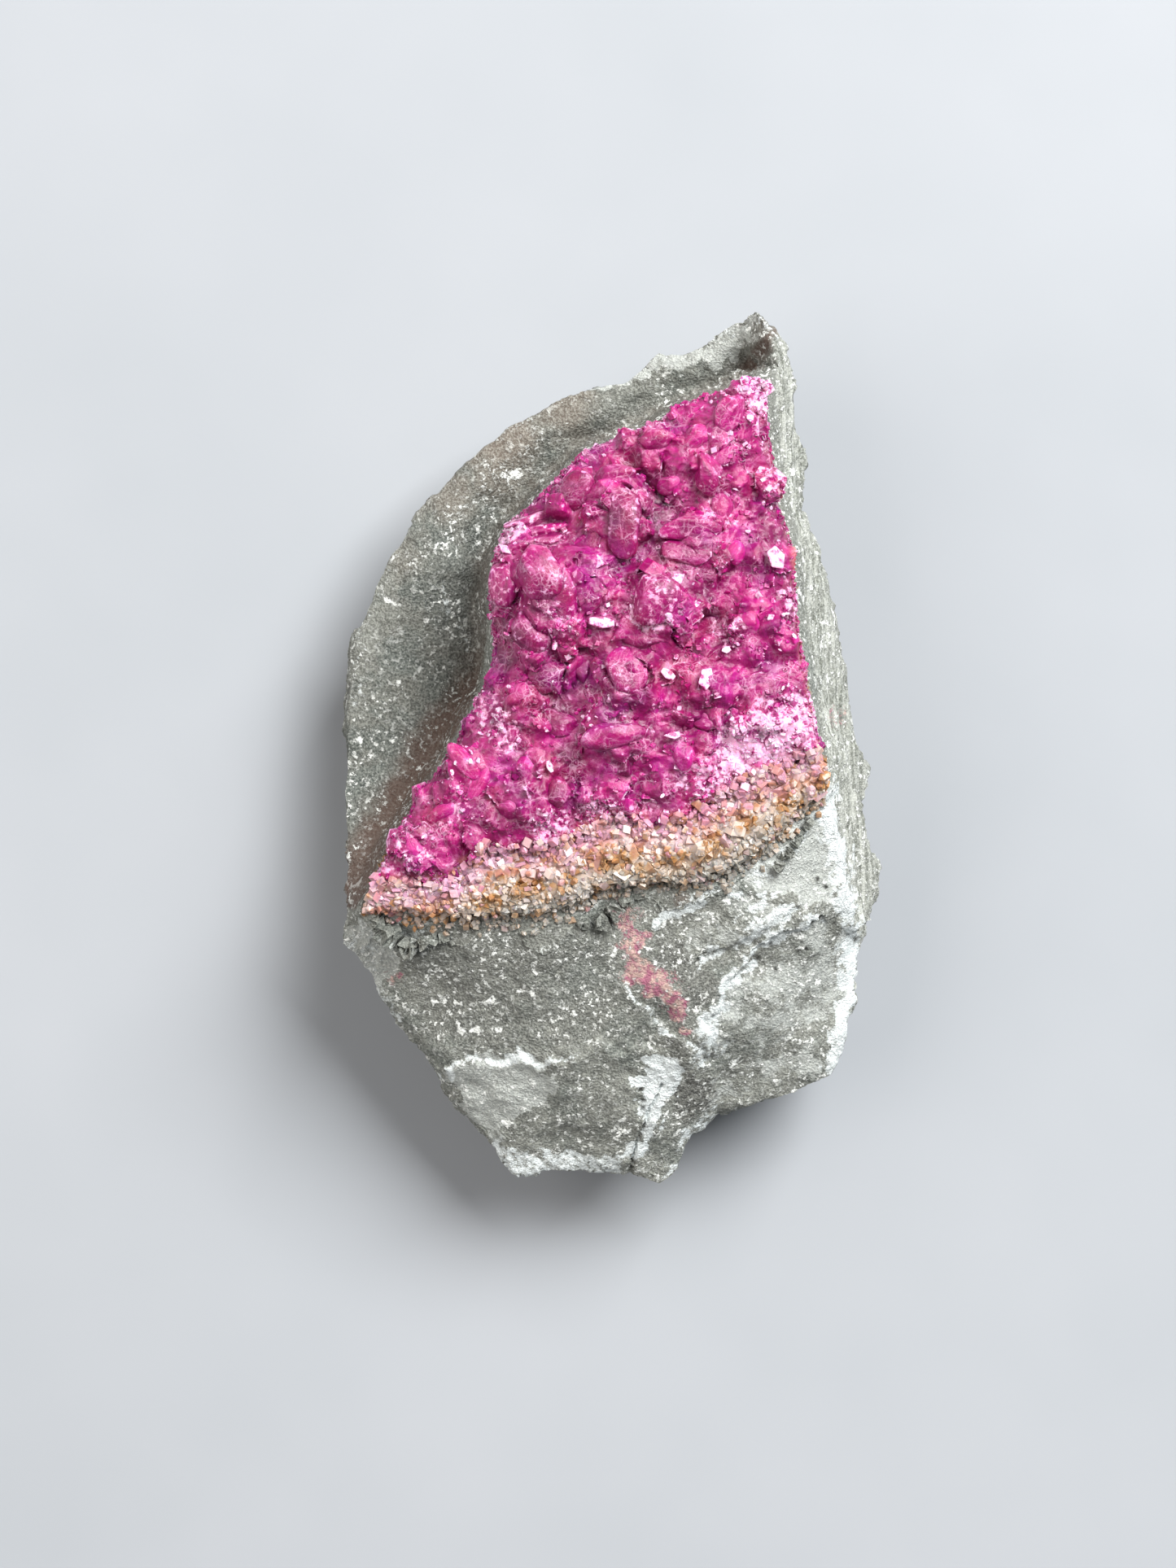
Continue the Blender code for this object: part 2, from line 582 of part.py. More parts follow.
def build_bed(name, mineral, outlines, rise, edge_rise, step, crystal_facts, seed):
    """One crust of crystals grown together, from the bed's outline and the outline its crystals reach."""
    outline, reached = outlines
    body = object_from(bed(outline, rise, edge_rise, step, seed), name, make_material(mineral))
    spacing, sizes = crystal_facts
    grow = body.modifiers.new("crystals", "BOOLEAN")
    grow.operation = "UNION"
    grow.use_self = True
    grow.object = build_crystals(name + "_crystals", outline, rise, spacing, sizes, seed)
    keep_above_bench(body, reached)
    without_voids(body)
    return body


def main():
    for obj in list(bpy.data.objects):
        bpy.data.objects.remove(obj)
    build_host_rock(make_material("grey_dolomite"))
    build_bed(
        "calcite_crust", "cobaltoan_calcite", (crust_outline(), crust_outline(OVERHANG)), crust_rise,
        CRUST_EDGE, CRUST_STEP, (CRYSTAL_SPACING, CRYSTAL_SIZES), seed=11,
    )
    build_bed(
        "stained_band", "iron_stained_calcite", (band_outline(), band_outline()), band_rise,
        BAND_EDGE, BAND_STEP, (GRAIN_SPACING, GRAIN_SIZES), seed=12,
    )


main()
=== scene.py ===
"""Looks of a cobaltoan calcite specimen: magenta crystals on a broken piece of grey dolomite.

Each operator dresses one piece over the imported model, in metres, with +Z up. The stone lies on its
back, and is seen from straight above. Places written in millimetres are in plan, from the origin.
"""

import math
import random

import bmesh
import bpy
import numpy as np
from bpy.props import FloatProperty, FloatVectorProperty, IntProperty, PointerProperty
from mathutils import Matrix, Vector, noise
from mathutils.bvhtree import BVHTree


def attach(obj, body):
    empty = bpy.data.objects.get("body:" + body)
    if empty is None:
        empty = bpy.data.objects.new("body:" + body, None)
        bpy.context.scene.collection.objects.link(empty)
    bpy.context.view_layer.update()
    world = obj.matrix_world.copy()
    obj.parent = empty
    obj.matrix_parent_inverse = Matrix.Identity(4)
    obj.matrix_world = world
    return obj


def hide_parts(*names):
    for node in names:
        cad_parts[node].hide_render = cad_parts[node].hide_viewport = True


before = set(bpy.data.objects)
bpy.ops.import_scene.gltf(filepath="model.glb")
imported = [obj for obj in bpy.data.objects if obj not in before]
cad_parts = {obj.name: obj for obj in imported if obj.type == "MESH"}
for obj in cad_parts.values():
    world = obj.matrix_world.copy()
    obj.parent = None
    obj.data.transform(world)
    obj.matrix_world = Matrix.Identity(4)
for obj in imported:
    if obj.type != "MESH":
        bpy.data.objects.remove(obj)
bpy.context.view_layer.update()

bl_info = {
    "name": "Cobaltoan Calcite Specimen",
    "version": (1, 0, 0),
    "blender": (4, 5, 0),
    "location": "3D View > Sidebar > Specimen",
    "description": "Dresses a mineral specimen with broken rock, crystals and a plain stage",
    "category": "Object",
}

MM = 0.001

# The edge between the crystals' bench and the hollow left of it, as (x, y) in mm, from low y to high.
HOLLOW_EDGE = [
    (-20.2, -12.6), (-18.3, -9.5), (-14.0, -2.0), (-11.0, 3.7), (-9.8, 9.0), (-9.6, 15.4),
    (-6.5, 19.6), (-1.9, 24.3), (4.2, 26.8), (9.7, 29.2), (13.0, 31.5), (13.6, 34.0),
]

# The edge between the front and the stone's right-hand side.
SIDE_EDGE = [
    (17.2, -28.4), (18.8, -26.1), (19.7, -20.4), (19.8, -14.9), (18.8, -9.6), (17.6, -4.4),
    (17.0, 1.4), (15.8, 8.1), (15.1, 16.0), (14.1, 21.0), (13.1, 28.5), (13.5, 33.0),
]

# The far rim of the hollow.
RIM = [(-20.9, 4.0), (-20.7, 8.8), (-19.8, 13.2), (-18.1, 17.3), (-15.8, 21.0), (-12.9, 24.3), (-7.8, 27.6)]

# White crushed powder along broken edges: (width of the powder, strength, line).
POWDER = [
    (1.10, 1.00, [(17.2, -3.5), (17.3, -4.6), (17.7, -6.8), (18.5, -9.1), (19.1, -11.1), (19.5, -12.9),
                 (19.6, -14.9), (19.6, -17.7), (19.5, -20.4), (18.9, -24.0), (18.3, -26.6)]),
    (0.60, 1.0, [(16.4, -13.3), (15.1, -13.9), (13.3, -14.9), (11.6, -16.1), (10.5, -17.7), (9.2, -19.8),
                 (7.9, -21.7), (8.1, -23.4)]),
    (0.55, 1.0, [(3.9, -14.4), (5.1, -12.9), (6.2, -12.3), (7.8, -11.5), (9.2, -11.1), (12.1, -11.4)]),
    (0.60, 0.9, [(14.4, -12.3), (12.9, -13.7), (11.5, -14.9), (9.2, -15.7), (7.7, -16.6)]),
    (0.38, 1.0, [(-13.3, -26.5), (-12.5, -25.5), (-10.3, -24.9), (-9.6, -25.3), (-8.3, -25.2),
                 (-5.9, -25.3), (-2.9, -24.7)]),
    (0.34, 0.8, [(1.1, -18.8), (2.3, -20.1), (3.6, -21.2), (4.7, -22.6), (6.4, -23.4), (7.6, -25.4)]),
    (0.70, 1.0, [(2.4, -33.0), (2.9, -31.3), (3.6, -29.4), (4.8, -27.4), (5.8, -25.7)]),
    (0.80, 0.65, [(-9.9, -32.6), (-8.4, -34.2), (-6.6, -34.7), (-3.3, -34.6), (-0.3, -34.6), (2.0, -34.9)]),
    (0.60, 0.7, [(4.5, -35.2), (5.6, -34.4), (6.2, -32.0), (8.4, -29.8)]),
    (0.40, 0.8, [(10.1, -13.6), (11.4, -13.1), (12.4, -12.1), (13.3, -11.6)]),
    (0.70, 0.7, [(-21.9, -15.1), (-21.1, -16.4), (-20.0, -17.7), (-19.4, -20.1), (-17.4, -21.8)]),
    (0.35, 0.6, [(-13.6, 13.4), (-13.1, 11.2), (-12.2, 9.8), (-11.4, 8.5)]),
    (0.45, 0.5, [(-8.6, -12.9), (-12.4, -13.4), (-16.0, -13.2), (-20.0, -14.2)]),
    (0.90, 0.42, RIM),
    (0.55, 0.6, [(8.2, 34.0), (9.6, 34.3), (11.6, 35.3), (12.4, 35.2), (13.4, 33.0)]),
]

# Flakes that stand out by a fraction of a millimetre: (height, how far the step fades, line of the lip).
# The face is higher on the left of the line's own direction.
LIPS = [
    (0.55, 2.4, [(8.1, -24.0), (7.9, -21.7), (9.2, -19.8), (10.5, -17.7), (11.6, -16.1), (13.3, -14.9),
                 (15.1, -13.9), (16.4, -13.6)]),
    (0.45, 1.8, [(7.7, -16.6), (9.2, -15.7), (11.5, -14.9), (12.9, -13.7), (14.4, -12.3)]),
    (0.50, 2.2, [(2.9, -24.1), (-0.7, -23.9), (-2.9, -24.7), (-5.9, -25.3), (-9.6, -25.3), (-12.5, -25.5)]),
    (0.45, 1.6, [(7.6, -25.4), (6.4, -23.4), (4.7, -22.6), (3.6, -21.2), (2.3, -20.1), (1.1, -18.8)]),
]
LINE_OF_SEAM = [
    (-18.9, -10.8), (-17.4, -10.9), (-15.4, -11.0), (-13.1, -10.6), (-11.0, -9.3), (-10.2, -8.0),
    (-8.2, -8.1), (-5.3, -7.9), (-2.4, -7.0), (-0.7, -5.9), (0.5, -5.3), (3.4, -6.1), (6.2, -5.3),
    (8.0, -4.4), (10.0, -3.0), (13.5, -1.4), (16.5, -0.4),
]
FOOT_OF_SEAM = [
    (-19.5, -12.9), (-16.3, -12.6), (-13.6, -12.9), (-11.0, -13.1), (-6.5, -12.8), (-4.5, -12.6),
    (-2.4, -11.7), (-1.3, -10.9), (1.9, -10.4), (6.2, -10.2), (8.9, -9.6), (10.3, -8.7), (12.0, -7.6),
    (13.4, -6.2), (14.9, -4.4), (17.0, -3.0),
]
CRACK = [(1.6, -35.6), (2.0, -33.0), (2.6, -31.3), (3.3, -29.4), (4.3, -27.4)]

# The break is pale and crushed, dark and tight, or powdered inside these outlines: (strength, outline).
PALE_PLATES = [
    (1.25, [(-13.3, -26.5), (-12.5, -25.5), (-10.3, -24.9), (-8.3, -25.2), (-5.9, -25.3), (-4.3, -26.2),
            (-5.2, -28.6), (-7.6, -30.2), (-9.3, -32.3), (-11.5, -30.0)]),
    (0.52, [(16.4, -13.6), (15.1, -13.9), (13.3, -14.9), (11.6, -16.1), (10.5, -17.7), (9.2, -19.8),
            (7.9, -21.7), (8.1, -24.0), (10.7, -24.1), (13.0, -23.6), (16.0, -22.8), (19.4, -22.0),
            (20.2, -18.0), (19.8, -14.0), (18.6, -11.5)]),
    (0.85, [(9.6, -10.9), (12.1, -11.2), (14.4, -12.0), (16.2, -13.0), (18.9, -11.0), (18.2, -6.5),
            (17.6, -3.4), (15.5, -4.6), (13.5, -7.3), (11.0, -9.3)]),
    (0.45, [(4.0, -14.0), (5.1, -12.9), (6.2, -12.3), (7.8, -11.5), (9.2, -11.1), (12.1, -11.4),
            (14.4, -12.3), (12.9, -13.7), (11.5, -14.9), (9.2, -15.7), (7.7, -16.6), (5.8, -15.4)]),
    (0.90, [(-21.9, -15.1), (-20.5, -13.2), (-17.5, -13.0), (-15.2, -13.2), (-15.8, -15.5), (-17.5, -18.2),
            (-19.3, -20.4), (-21.2, -17.2)]),
    (1.10, [(-4.0, 31.4), (-0.6, 29.6), (3.0, 30.6), (6.8, 31.6), (10.2, 32.0), (12.0, 34.0), (12.6, 36.6),
            (8.0, 35.8), (2.0, 33.8), (-3.0, 32.6)]),
    (0.45, [(8.0, -30.0), (10.0, -28.6), (14.0, -27.6), (18.0, -26.6), (18.6, -23.0), (14.0, -24.6),
            (9.0, -25.6)]),
]
DARK_PLATES = [
    (1.30, [(5.0, -27.0), (6.3, -26.3), (8.5, -27.0), (8.5, -29.0), (6.7, -30.2), (5.2, -29.6)]),
    (0.85, [(4.3, -13.8), (5.4, -15.2), (7.2, -17.0), (8.8, -18.5), (7.4, -21.0), (5.9, -20.4),
            (4.4, -17.7), (3.4, -15.3)]),
    (0.40, [(-15.0, -14.2), (-3.0, -13.6), (0.0, -14.4), (0.6, -19.0), (0.6, -22.0), (-3.0, -23.6),
            (-8.0, -24.2), (-12.5, -24.4), (-15.5, -20.0), (-16.5, -16.0)]),
    (0.35, [(9.4, -9.6), (11.6, -9.0), (13.6, -9.6), (13.0, -11.0), (10.2, -10.8)]),
    (0.60, [(4.6, -23.4), (6.2, -22.4), (7.0, -24.0), (6.0, -25.6), (4.4, -25.0)]),
]
POWDERED = [
    (0.75, [(-10.0, -32.0), (-8.0, -31.8), (-5.5, -33.0), (-3.0, -32.6), (0.0, -33.2), (1.5, -34.3),
            (-0.3, -36.0), (-6.6, -36.0), (-8.8, -34.6)]),
    (1.00, [(2.8, -25.1), (4.1, -24.7), (5.7, -25.1), (6.3, -26.2), (5.3, -28.0), (4.3, -30.2),
            (3.2, -30.4), (2.4, -29.0), (2.0, -27.3)]),
    (0.60, [(17.2, -3.4), (18.6, -8.0), (20.0, -12.0), (20.0, -17.0), (18.9, -16.0), (18.6, -12.0),
            (17.0, -7.4)]),
    (0.60, [(9.6, -10.4), (11.4, -9.3), (12.9, -8.4), (14.6, -6.6), (15.8, -4.8), (16.6, -4.4), (15.8, -6.8),
            (14.0, -9.0), (12.0, -10.6)]),
    (0.55, [(6.2, -24.2), (8.0, -23.2), (9.8, -24.4), (8.0, -26.0), (6.6, -25.6)]),
    (0.50, [(-21.6, -15.2), (-19.6, -12.9), (-16.0, -12.6), (-12.4, -12.9), (-13.4, -14.6), (-16.8, -16.2),
            (-19.6, -18.2)]),
]

# Patches of colour in the rock: (x, y, radius, strength).
VEIN = [(0.9, -12.6, 1.6, 0.6), (1.3, -13.8, 1.8, 0.8), (1.7, -15.2, 1.9, 0.8), (1.9, -16.8, 1.7, 0.8),
        (2.5, -18.1, 1.7, 0.9), (3.5, -18.9, 1.9, 0.9), (4.6, -19.7, 1.9, 0.8), (5.3, -21.2, 1.4, 0.8),
        (5.9, -22.7, 0.9, 0.7), (-17.6, -18.4, 1.1, 0.6), (18.4, 2.7, 1.6, 0.5), (0.4, -11.6, 2.0, 0.35)]
WARM = [(-9.0, 26.0, 4.6, 1.0), (-4.0, 28.4, 3.6, 0.8), (-13.4, 21.0, 3.2, 0.6), (-9.0, 22.6, 3.2, 0.7),
        (-17.0, 16.0, 2.4, 0.4)]
BROWN = [(-18.9, -7.4, 2.6, 0.9), (-17.4, -4.6, 2.0, 0.8), (-20.2, -10.4, 2.2, 0.8), (-15.6, -1.2, 1.6, 0.7),
         (11.4, 31.2, 1.0, 0.9), (12.4, 32.6, 0.9, 0.9), (13.1, 33.8, 0.7, 0.8), (5.6, -12.0, 0.9, 0.5)]
SPECKS = [(2.5, -27.5), (2.8, -28.4), (2.7, -29.0), (16.6, -10.4), (17.3, -11.0), (18.1, -14.0),
          (15.8, -16.0), (15.2, -16.2), (13.3, -17.7), (12.7, -20.2), (11.9, -16.7), (12.9, -15.6)]

# Where the crystals are frosted pale, and where they are deep and clear: (x, y, radius, strength).
FROSTED = [(12.0, -0.5, 4.8, 1.3), (14.6, 2.4, 3.4, 0.8), (7.5, -3.0, 3.2, 0.7), (11.9, 28.3, 2.6, 0.9),
           (13.2, 21.0, 1.8, 0.6), (8.8, 18.6, 2.4, 0.4), (-8.4, 17.4, 2.2, 0.9), (-4.0, 10.8, 2.8, 0.5),
           (3.3, 10.9, 2.7, 0.8), (-9.4, 2.8, 2.0, 0.7), (-8.0, 1.0, 1.9, 0.7), (-1.0, -5.2, 2.6, 0.7),
           (-15.8, -8.2, 2.6, 0.5), (-12.6, -4.6, 2.0, 0.4), (-4.6, -6.6, 2.6, 0.7), (14.4, 12.0, 1.6, 0.6),
           (-17.6, -10.2, 1.6, 0.5), (9.6, 9.0, 1.8, 0.5), (-8.6, 12.0, 1.6, 0.5)]
DEEP = [(-6.2, 9.6, 2.6, 0.9), (1.4, 19.0, 3.6, 0.8), (-4.6, 4.2, 3.2, 0.7), (0.8, 1.6, 3.2, 0.9),
        (1.0, 14.6, 2.2, 0.9), (-3.8, -2.4, 2.8, 0.8), (7.4, 14.4, 2.6, 0.6), (1.6, 6.2, 3.0, 0.7),
        (-2.4, 15.2, 2.6, 0.6), (5.4, 23.0, 2.2, 0.3), (-9.4, -3.4, 2.0, 0.5)]
# Cleavage faces that catch the window: (x, y, half-length in mm, how much longer than wide).
FLASHES = [(-0.7, 9.9, 0.95, 1.7), (12.7, 15.2, 0.85, 1.2), (5.2, 13.3, 0.60, 1.3), (4.6, 5.9, 0.55, 1.2),
           (8.0, 5.4, 0.80, 1.3), (4.9, 1.1, 0.70, 2.2), (-4.9, -1.0, 0.45, 1.5), (6.6, 11.2, 0.40, 2.4),
           (-8.6, 17.0, 0.50, 1.6), (-4.4, 7.9, 0.35, 1.4), (9.2, 7.8, 0.35, 1.2), (11.6, 26.8, 0.45, 1.5)]

# The domes of the crust, which its crystals' growth layers curve round: (x, y, radius, direction in degrees).
DOMES = [
    (-4.6, 12.6, 4.4, 125), (-8.2, 13.2, 3.0, 80), (-5.9, 17.4, 3.0, 100), (3.5, 11.4, 4.0, 60),
    (1.0, 18.2, 3.6, 20), (-2.6, 20.4, 2.8, 150), (1.2, 5.8, 3.6, 75), (0.2, 1.2, 3.1, 95),
    (-6.2, 9.4, 3.0, 40), (6.4, 16.8, 3.8, 95), (7.7, 22.6, 4.0, 130), (11.4, 9.6, 3.4, 30),
    (-5.0, 5.6, 3.0, 160), (-4.0, 2.0, 2.6, 110), (-11.7, -1.8, 3.0, 120), (-6.2, -3.4, 3.4, 60),
    (-15.4, -7.8, 2.8, 100), (7.0, 5.2, 3.6, 20), (5.6, -0.8, 3.2, 85), (11.8, 3.4, 3.2, 140),
    (9.6, 26.4, 2.8, 50), (12.0, 15.4, 2.8, 10), (-0.2, -2.6, 2.8, 170), (-10.9, -6.0, 2.8, 35),
    (3.6, 24.2, 2.6, 115), (11.2, 20.6, 2.6, 70), (7.6, 10.0, 2.4, 45),
]

# The largest crystals: (x, y, half-length, half-width, half-thickness in mm; turn, then lean right and up in
# degrees; tone; frost). A lens lies flat on the crust where both leans are nought.
LENSES = [
    (-6.2, 9.5, 2.3, 1.8, 1.2, 100, -12, -14, 0.22, 0.02), (-5.2, 13.4, 3.2, 2.0, 1.1, 130, -8, 10, 0.60, 0.30),
    (-3.4, 12.0, 2.6, 1.6, 1.0, 120, 14, 6, 0.50, 0.35), (-8.4, 13.2, 2.1, 1.3, 1.1, 85, -30, 0, 0.62, 0.45),
    (-6.1, 18.3, 2.5, 0.55, 0.9, 14, 0, 10, 0.70, 0.85), (-5.9, 17.2, 2.7, 0.50, 0.9, 12, 0, 6, 0.72, 0.60),
    (-5.8, 16.2, 2.6, 0.50, 0.8, 15, 0, 0, 0.68, 0.40), (-2.4, 20.5, 2.0, 1.6, 1.1, 40, -10, 12, 0.40, 0.05),
    (1.0, 18.0, 3.3, 1.7, 1.4, 96, 6, -4, 0.22, 0.06), (0.2, 21.4, 1.9, 1.3, 0.9, 15, 0, 14, 0.48, 0.15),
    (-1.4, 16.2, 1.6, 1.0, 0.8, 70, -20, 0, 0.30, 0.10), (6.2, 17.2, 2.6, 1.2, 0.6, 4, 6, 16, 0.50, 0.30),
    (6.0, 15.4, 2.3, 1.2, 0.6, 172, 4, -6, 0.42, 0.20), (4.8, 21.0, 1.2, 1.0, 0.9, 30, 0, 8, 0.85, 0.00),
    (7.7, 21.6, 1.9, 1.3, 0.9, 120, 10, 8, 0.60, 0.20), (9.7, 15.4, 1.1, 0.9, 0.7, 60, 12, -8, 0.95, 0.05),
    (3.6, 11.8, 2.5, 2.1, 1.3, 60, 4, 4, 0.52, 0.60), (2.6, 8.6, 2.2, 0.8, 0.8, 168, 0, -18, 0.40, 0.10),
    (7.7, 9.8, 1.8, 1.1, 0.9, 42, 10, -10, 0.34, 0.05), (11.3, 9.7, 1.6, 1.2, 0.8, 110, 14, 0, 0.95, 0.10),
    (1.1, 5.9, 2.2, 1.9, 1.3, 80, 4, -6, 0.50, 0.12), (-2.1, 6.4, 1.4, 1.0, 0.8, 105, -8, 0, 0.25, 0.08),
    (-5.0, 5.8, 1.8, 1.4, 0.9, 25, -8, -4, 0.30, 0.06), (0.3, 1.2, 2.8, 1.2, 1.2, 14, 0, -20, 0.46, 0.12),
    (-4.0, 2.0, 1.8, 1.2, 0.8, 155, -6, -6, 0.36, 0.06), (-7.3, 4.1, 1.4, 0.9, 0.7, 50, -20, 0, 0.60, 0.15),
    (-7.8, 1.6, 1.4, 0.8, 0.6, 80, -8, 10, 0.80, 0.90), (5.8, -0.6, 1.3, 1.0, 0.9, 85, 0, -10, 0.85, 0.15),
    (1.2, -1.2, 1.5, 0.7, 0.8, 88, 0, -14, 0.25, 0.06), (-5.7, -0.6, 1.3, 1.0, 0.8, 20, 0, -8, 0.42, 0.06),
    (-11.6, -1.0, 1.9, 0.8, 0.7, 130, -12, 4, 0.92, 0.10), (-10.4, -2.6, 1.7, 0.8, 0.7, 60, 0, -6, 0.88, 0.10),
    (-13.2, -5.0, 1.8, 0.9, 0.7, 30, -10, -4, 0.90, 0.20), (-7.8, -4.6, 1.7, 1.0, 0.8, 150, 0, -10, 0.50, 0.10),
    (-4.0, -3.4, 1.6, 1.0, 0.8, 75, 6, -8, 0.34, 0.06), (9.4, 26.6, 1.7, 1.2, 0.9, 65, 0, 6, 0.75, 0.30),
    (6.9, 24.6, 1.6, 1.1, 0.9, 25, 0, 12, 0.95, 0.05), (3.6, 24.4, 1.7, 1.1, 0.8, 20, 0, 16, 0.55, 0.20),
    (8.8, 18.8, 1.5, 1.0, 0.8, 95, 8, 0, 0.52, 0.25), (11.2, 5.4, 1.4, 1.0, 0.7, 15, 8, -6, 0.55, 0.25),
    (7.4, 2.4, 1.7, 0.9, 0.7, 150, 4, -12, 0.60, 0.30), (-15.6, -7.6, 1.4, 0.8, 0.6, 105, -8, 0, 0.92, 0.25),
]

CAMERA = Vector((-1.77, -2.77, 300.0)) * MM
WINDOW = Vector((350.0, 400.0, 560.0)) * MM


def linear(hex_colour):
    """The linear colour, with full alpha, of an sRGB hex value."""
    parts = [int(hex_colour[i : i + 2], 16) / 255 for i in (1, 3, 5)]
    return (*(c / 12.92 if c <= 0.04045 else ((c + 0.055) / 1.055) ** 2.4 for c in parts), 1.0)


def colour_property(name, description, hex_colour):
    return FloatVectorProperty(
        name=name, description=description, subtype="COLOR", size=4, min=0.0, max=1.0, default=linear(hex_colour)
    )


def length_property(name, description, millimetres):
    return FloatProperty(name=name, description=description, default=millimetres * MM, min=0.0, unit="LENGTH")


class RockSettings(bpy.types.PropertyGroup):
    fine_edge: length_property("Fine Edge", "Longest edge of the rock's mesh on the face", 0.37)
    coarse_edge: length_property("Coarse Edge", "Longest edge of the rock's mesh on the sides and back", 0.70)
    chip_height: length_property("Chip Height", "Depth of the chips in the broken surface", 0.42)
    grain_height: length_property("Grain Height", "Depth of the dolomite's sugary grain", 0.11)
    body: colour_property("Body", "Middle grey of the freshly broken rock", "#585A55")
    pale: colour_property("Pale", "Paler, crushed rock", "#B2B6B2")
    # The shade colour is the rock's own darker grey, and is also painted as shade beside the crystals and in the crack.
    shade: colour_property("Shade", "Darker grey of tight, fine-grained rock", "#403E3C")
    powder: colour_property("Powder", "White powder on broken edges", "#CBD1D0")
    # The brown colour is stain, and is also laid as painted shade on the hollow's wall beside the crystals.
    brown: colour_property("Brown", "Brown stain beside the crystals", "#4F3A31")
    vein: colour_property("Vein", "Pink calcite in the crack down the lower face", "#93596C")


class CrystalSettings(bpy.types.PropertyGroup):
    fine_count: IntProperty(name="Fine Crystals", description="Number of small crystals", default=3400, min=0)
    middle_count: IntProperty(name="Middle Crystals", description="Number of middling crystals", default=190, min=0)
    fine_size: length_property("Fine Size", "Half-length of a small crystal", 0.27)
    middle_size: length_property("Middle Size", "Half-length of a middling crystal", 0.80)
    skin_edge: length_property("Skin Edge", "Longest edge of the mesh of the crust's upper skin", 0.30)
    # Deep, with the darker start of the ramp, is also where painted shade in the valleys between crystals turns the
    # tone.
    deep: colour_property("Deep", "Colour of a thick, clear crystal", "#7E0A50")
    bright: colour_property("Bright", "Colour of a thin or lit crystal", "#CC2292")
    frost: colour_property("Frost", "Colour of a frosted crystal", "#F0B4D6")


class SeamSettings(bpy.types.PropertyGroup):
    grain_count: IntProperty(name="Grains", description="Number of small grains", default=1250, min=0)
    grain_size: length_property("Grain Size", "Half-length of a grain", 0.40)
    cream: colour_property("Cream", "Unstained grains", "#BFAB9E")
    ochre: colour_property("Ochre", "Grains stained by iron", "#9C6A3A")
    # Rust is also where the tone of sunken grains turns, as painted shade.
    rust: colour_property("Rust", "The darkest stain, between the grains", "#5C381F")


class StageSettings(bpy.types.PropertyGroup):
    floor: colour_property("Floor", "Pale floor under the stone", "#9A9DA1")
    window_power: FloatProperty(name="Window", description="Power of the large soft light", default=15.0, unit="POWER")
    fill_power: FloatProperty(name="Fill", description="Power of the soft fill light", default=4.4, unit="POWER")


def alone(piece):
    """Selects this piece and nothing else."""
    bpy.ops.object.select_all(action="DESELECT")
    piece.select_set(True)
    bpy.context.view_layer.objects.active = piece


def merged_copy(node, name):
    """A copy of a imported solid, with its loose triangles merged into one skin."""
    piece = bpy.data.objects.new(name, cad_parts[node].data.copy())
    bpy.context.scene.collection.objects.link(piece)
    piece.data.materials.clear()
    alone(piece)
    bpy.ops.object.mode_set(mode="EDIT")
    bpy.ops.mesh.select_all(action="SELECT")
    bpy.ops.mesh.customdata_custom_splitnormals_clear()
    bpy.ops.mesh.remove_doubles(threshold=0.002 * MM)
    bpy.ops.mesh.normals_make_consistent(inside=False)
    bpy.ops.object.mode_set(mode="OBJECT")
    bpy.ops.object.shade_flat()
    return piece


def skin_of(*nodes):
    """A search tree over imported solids."""
    points, faces = [], []
    for node in nodes:
        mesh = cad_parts[node].data
        first = len(points)
        points += [v.co.copy() for v in mesh.vertices]
        faces += [[first + i for i in p.vertices] for p in mesh.polygons]
    return BVHTree.FromPolygons(points, faces)


def places_of(mesh):
    """The mesh's points in millimetres, as an array."""
    found = np.empty(len(mesh.vertices) * 3)
    mesh.vertices.foreach_get("co", found)
    return found.reshape(-1, 3) / MM


def normals_of(mesh):
    found = np.empty(len(mesh.vertices) * 3)
    mesh.vertices.foreach_get("normal", found)
    return found.reshape(-1, 3)


def paint(mesh, name, values):
    """Keeps one number per point under a name that a material can read."""
    layer = mesh.attributes.get(name) or mesh.attributes.new(name, "FLOAT", "POINT")
    layer.data.foreach_set("value", values.astype(np.float32))


def from_line(places, line):
    """Distance in plan from each place to a line, and whether the place is on the line's left."""
    best = np.full(len(places), 1e9)
    left = np.zeros(len(places), bool)
    for (ax, ay), (bx, by) in zip(line, line[1:]):
        dx, dy = bx - ax, by - ay
        px, py = places[:, 0] - ax, places[:, 1] - ay
        share = np.clip((px * dx + py * dy) / (dx * dx + dy * dy), 0.0, 1.0)
        gap = np.hypot(px - share * dx, py - share * dy)
        nearer = gap < best
        best[nearer] = gap[nearer]
        left[nearer] = (dx * py - dy * px)[nearer] > 0
    return best, left


def from_spots(places, spots):
    """How strongly each place is covered by soft round spots."""
    found = np.zeros(len(places))
    for x, y, radius, strength in spots:
        share = 1.0 - np.hypot(places[:, 0] - x, places[:, 1] - y) / radius
        found = np.maximum(found, strength * np.clip(share * 1.8, 0.0, 1.0))
    return found


def from_patches(places, patches):
    """How strongly each place is covered by outlined patches with ragged, soft rims."""
    ragged = 2.2 * (mottle(places, 1.3, seed=11.0) - 0.5) + 1.4 * (mottle(places, 0.5, seed=12.0) - 0.5)
    found = np.zeros(len(places))
    for strength, outline in patches:
        closed = outline + outline[:1]
        gap, _ = from_line(places, closed)
        inside = np.zeros(len(places), bool)
        for (ax, ay), (bx, by) in zip(closed, closed[1:]):
            crosses = (ay > places[:, 1]) != (by > places[:, 1])
            inside ^= crosses & (places[:, 0] < (bx - ax) * (places[:, 1] - ay) / (by - ay + 1e-12) + ax)
        found = np.maximum(found, strength * smooth(-0.35, 0.35, np.where(inside, gap, -gap) + ragged))
    return found


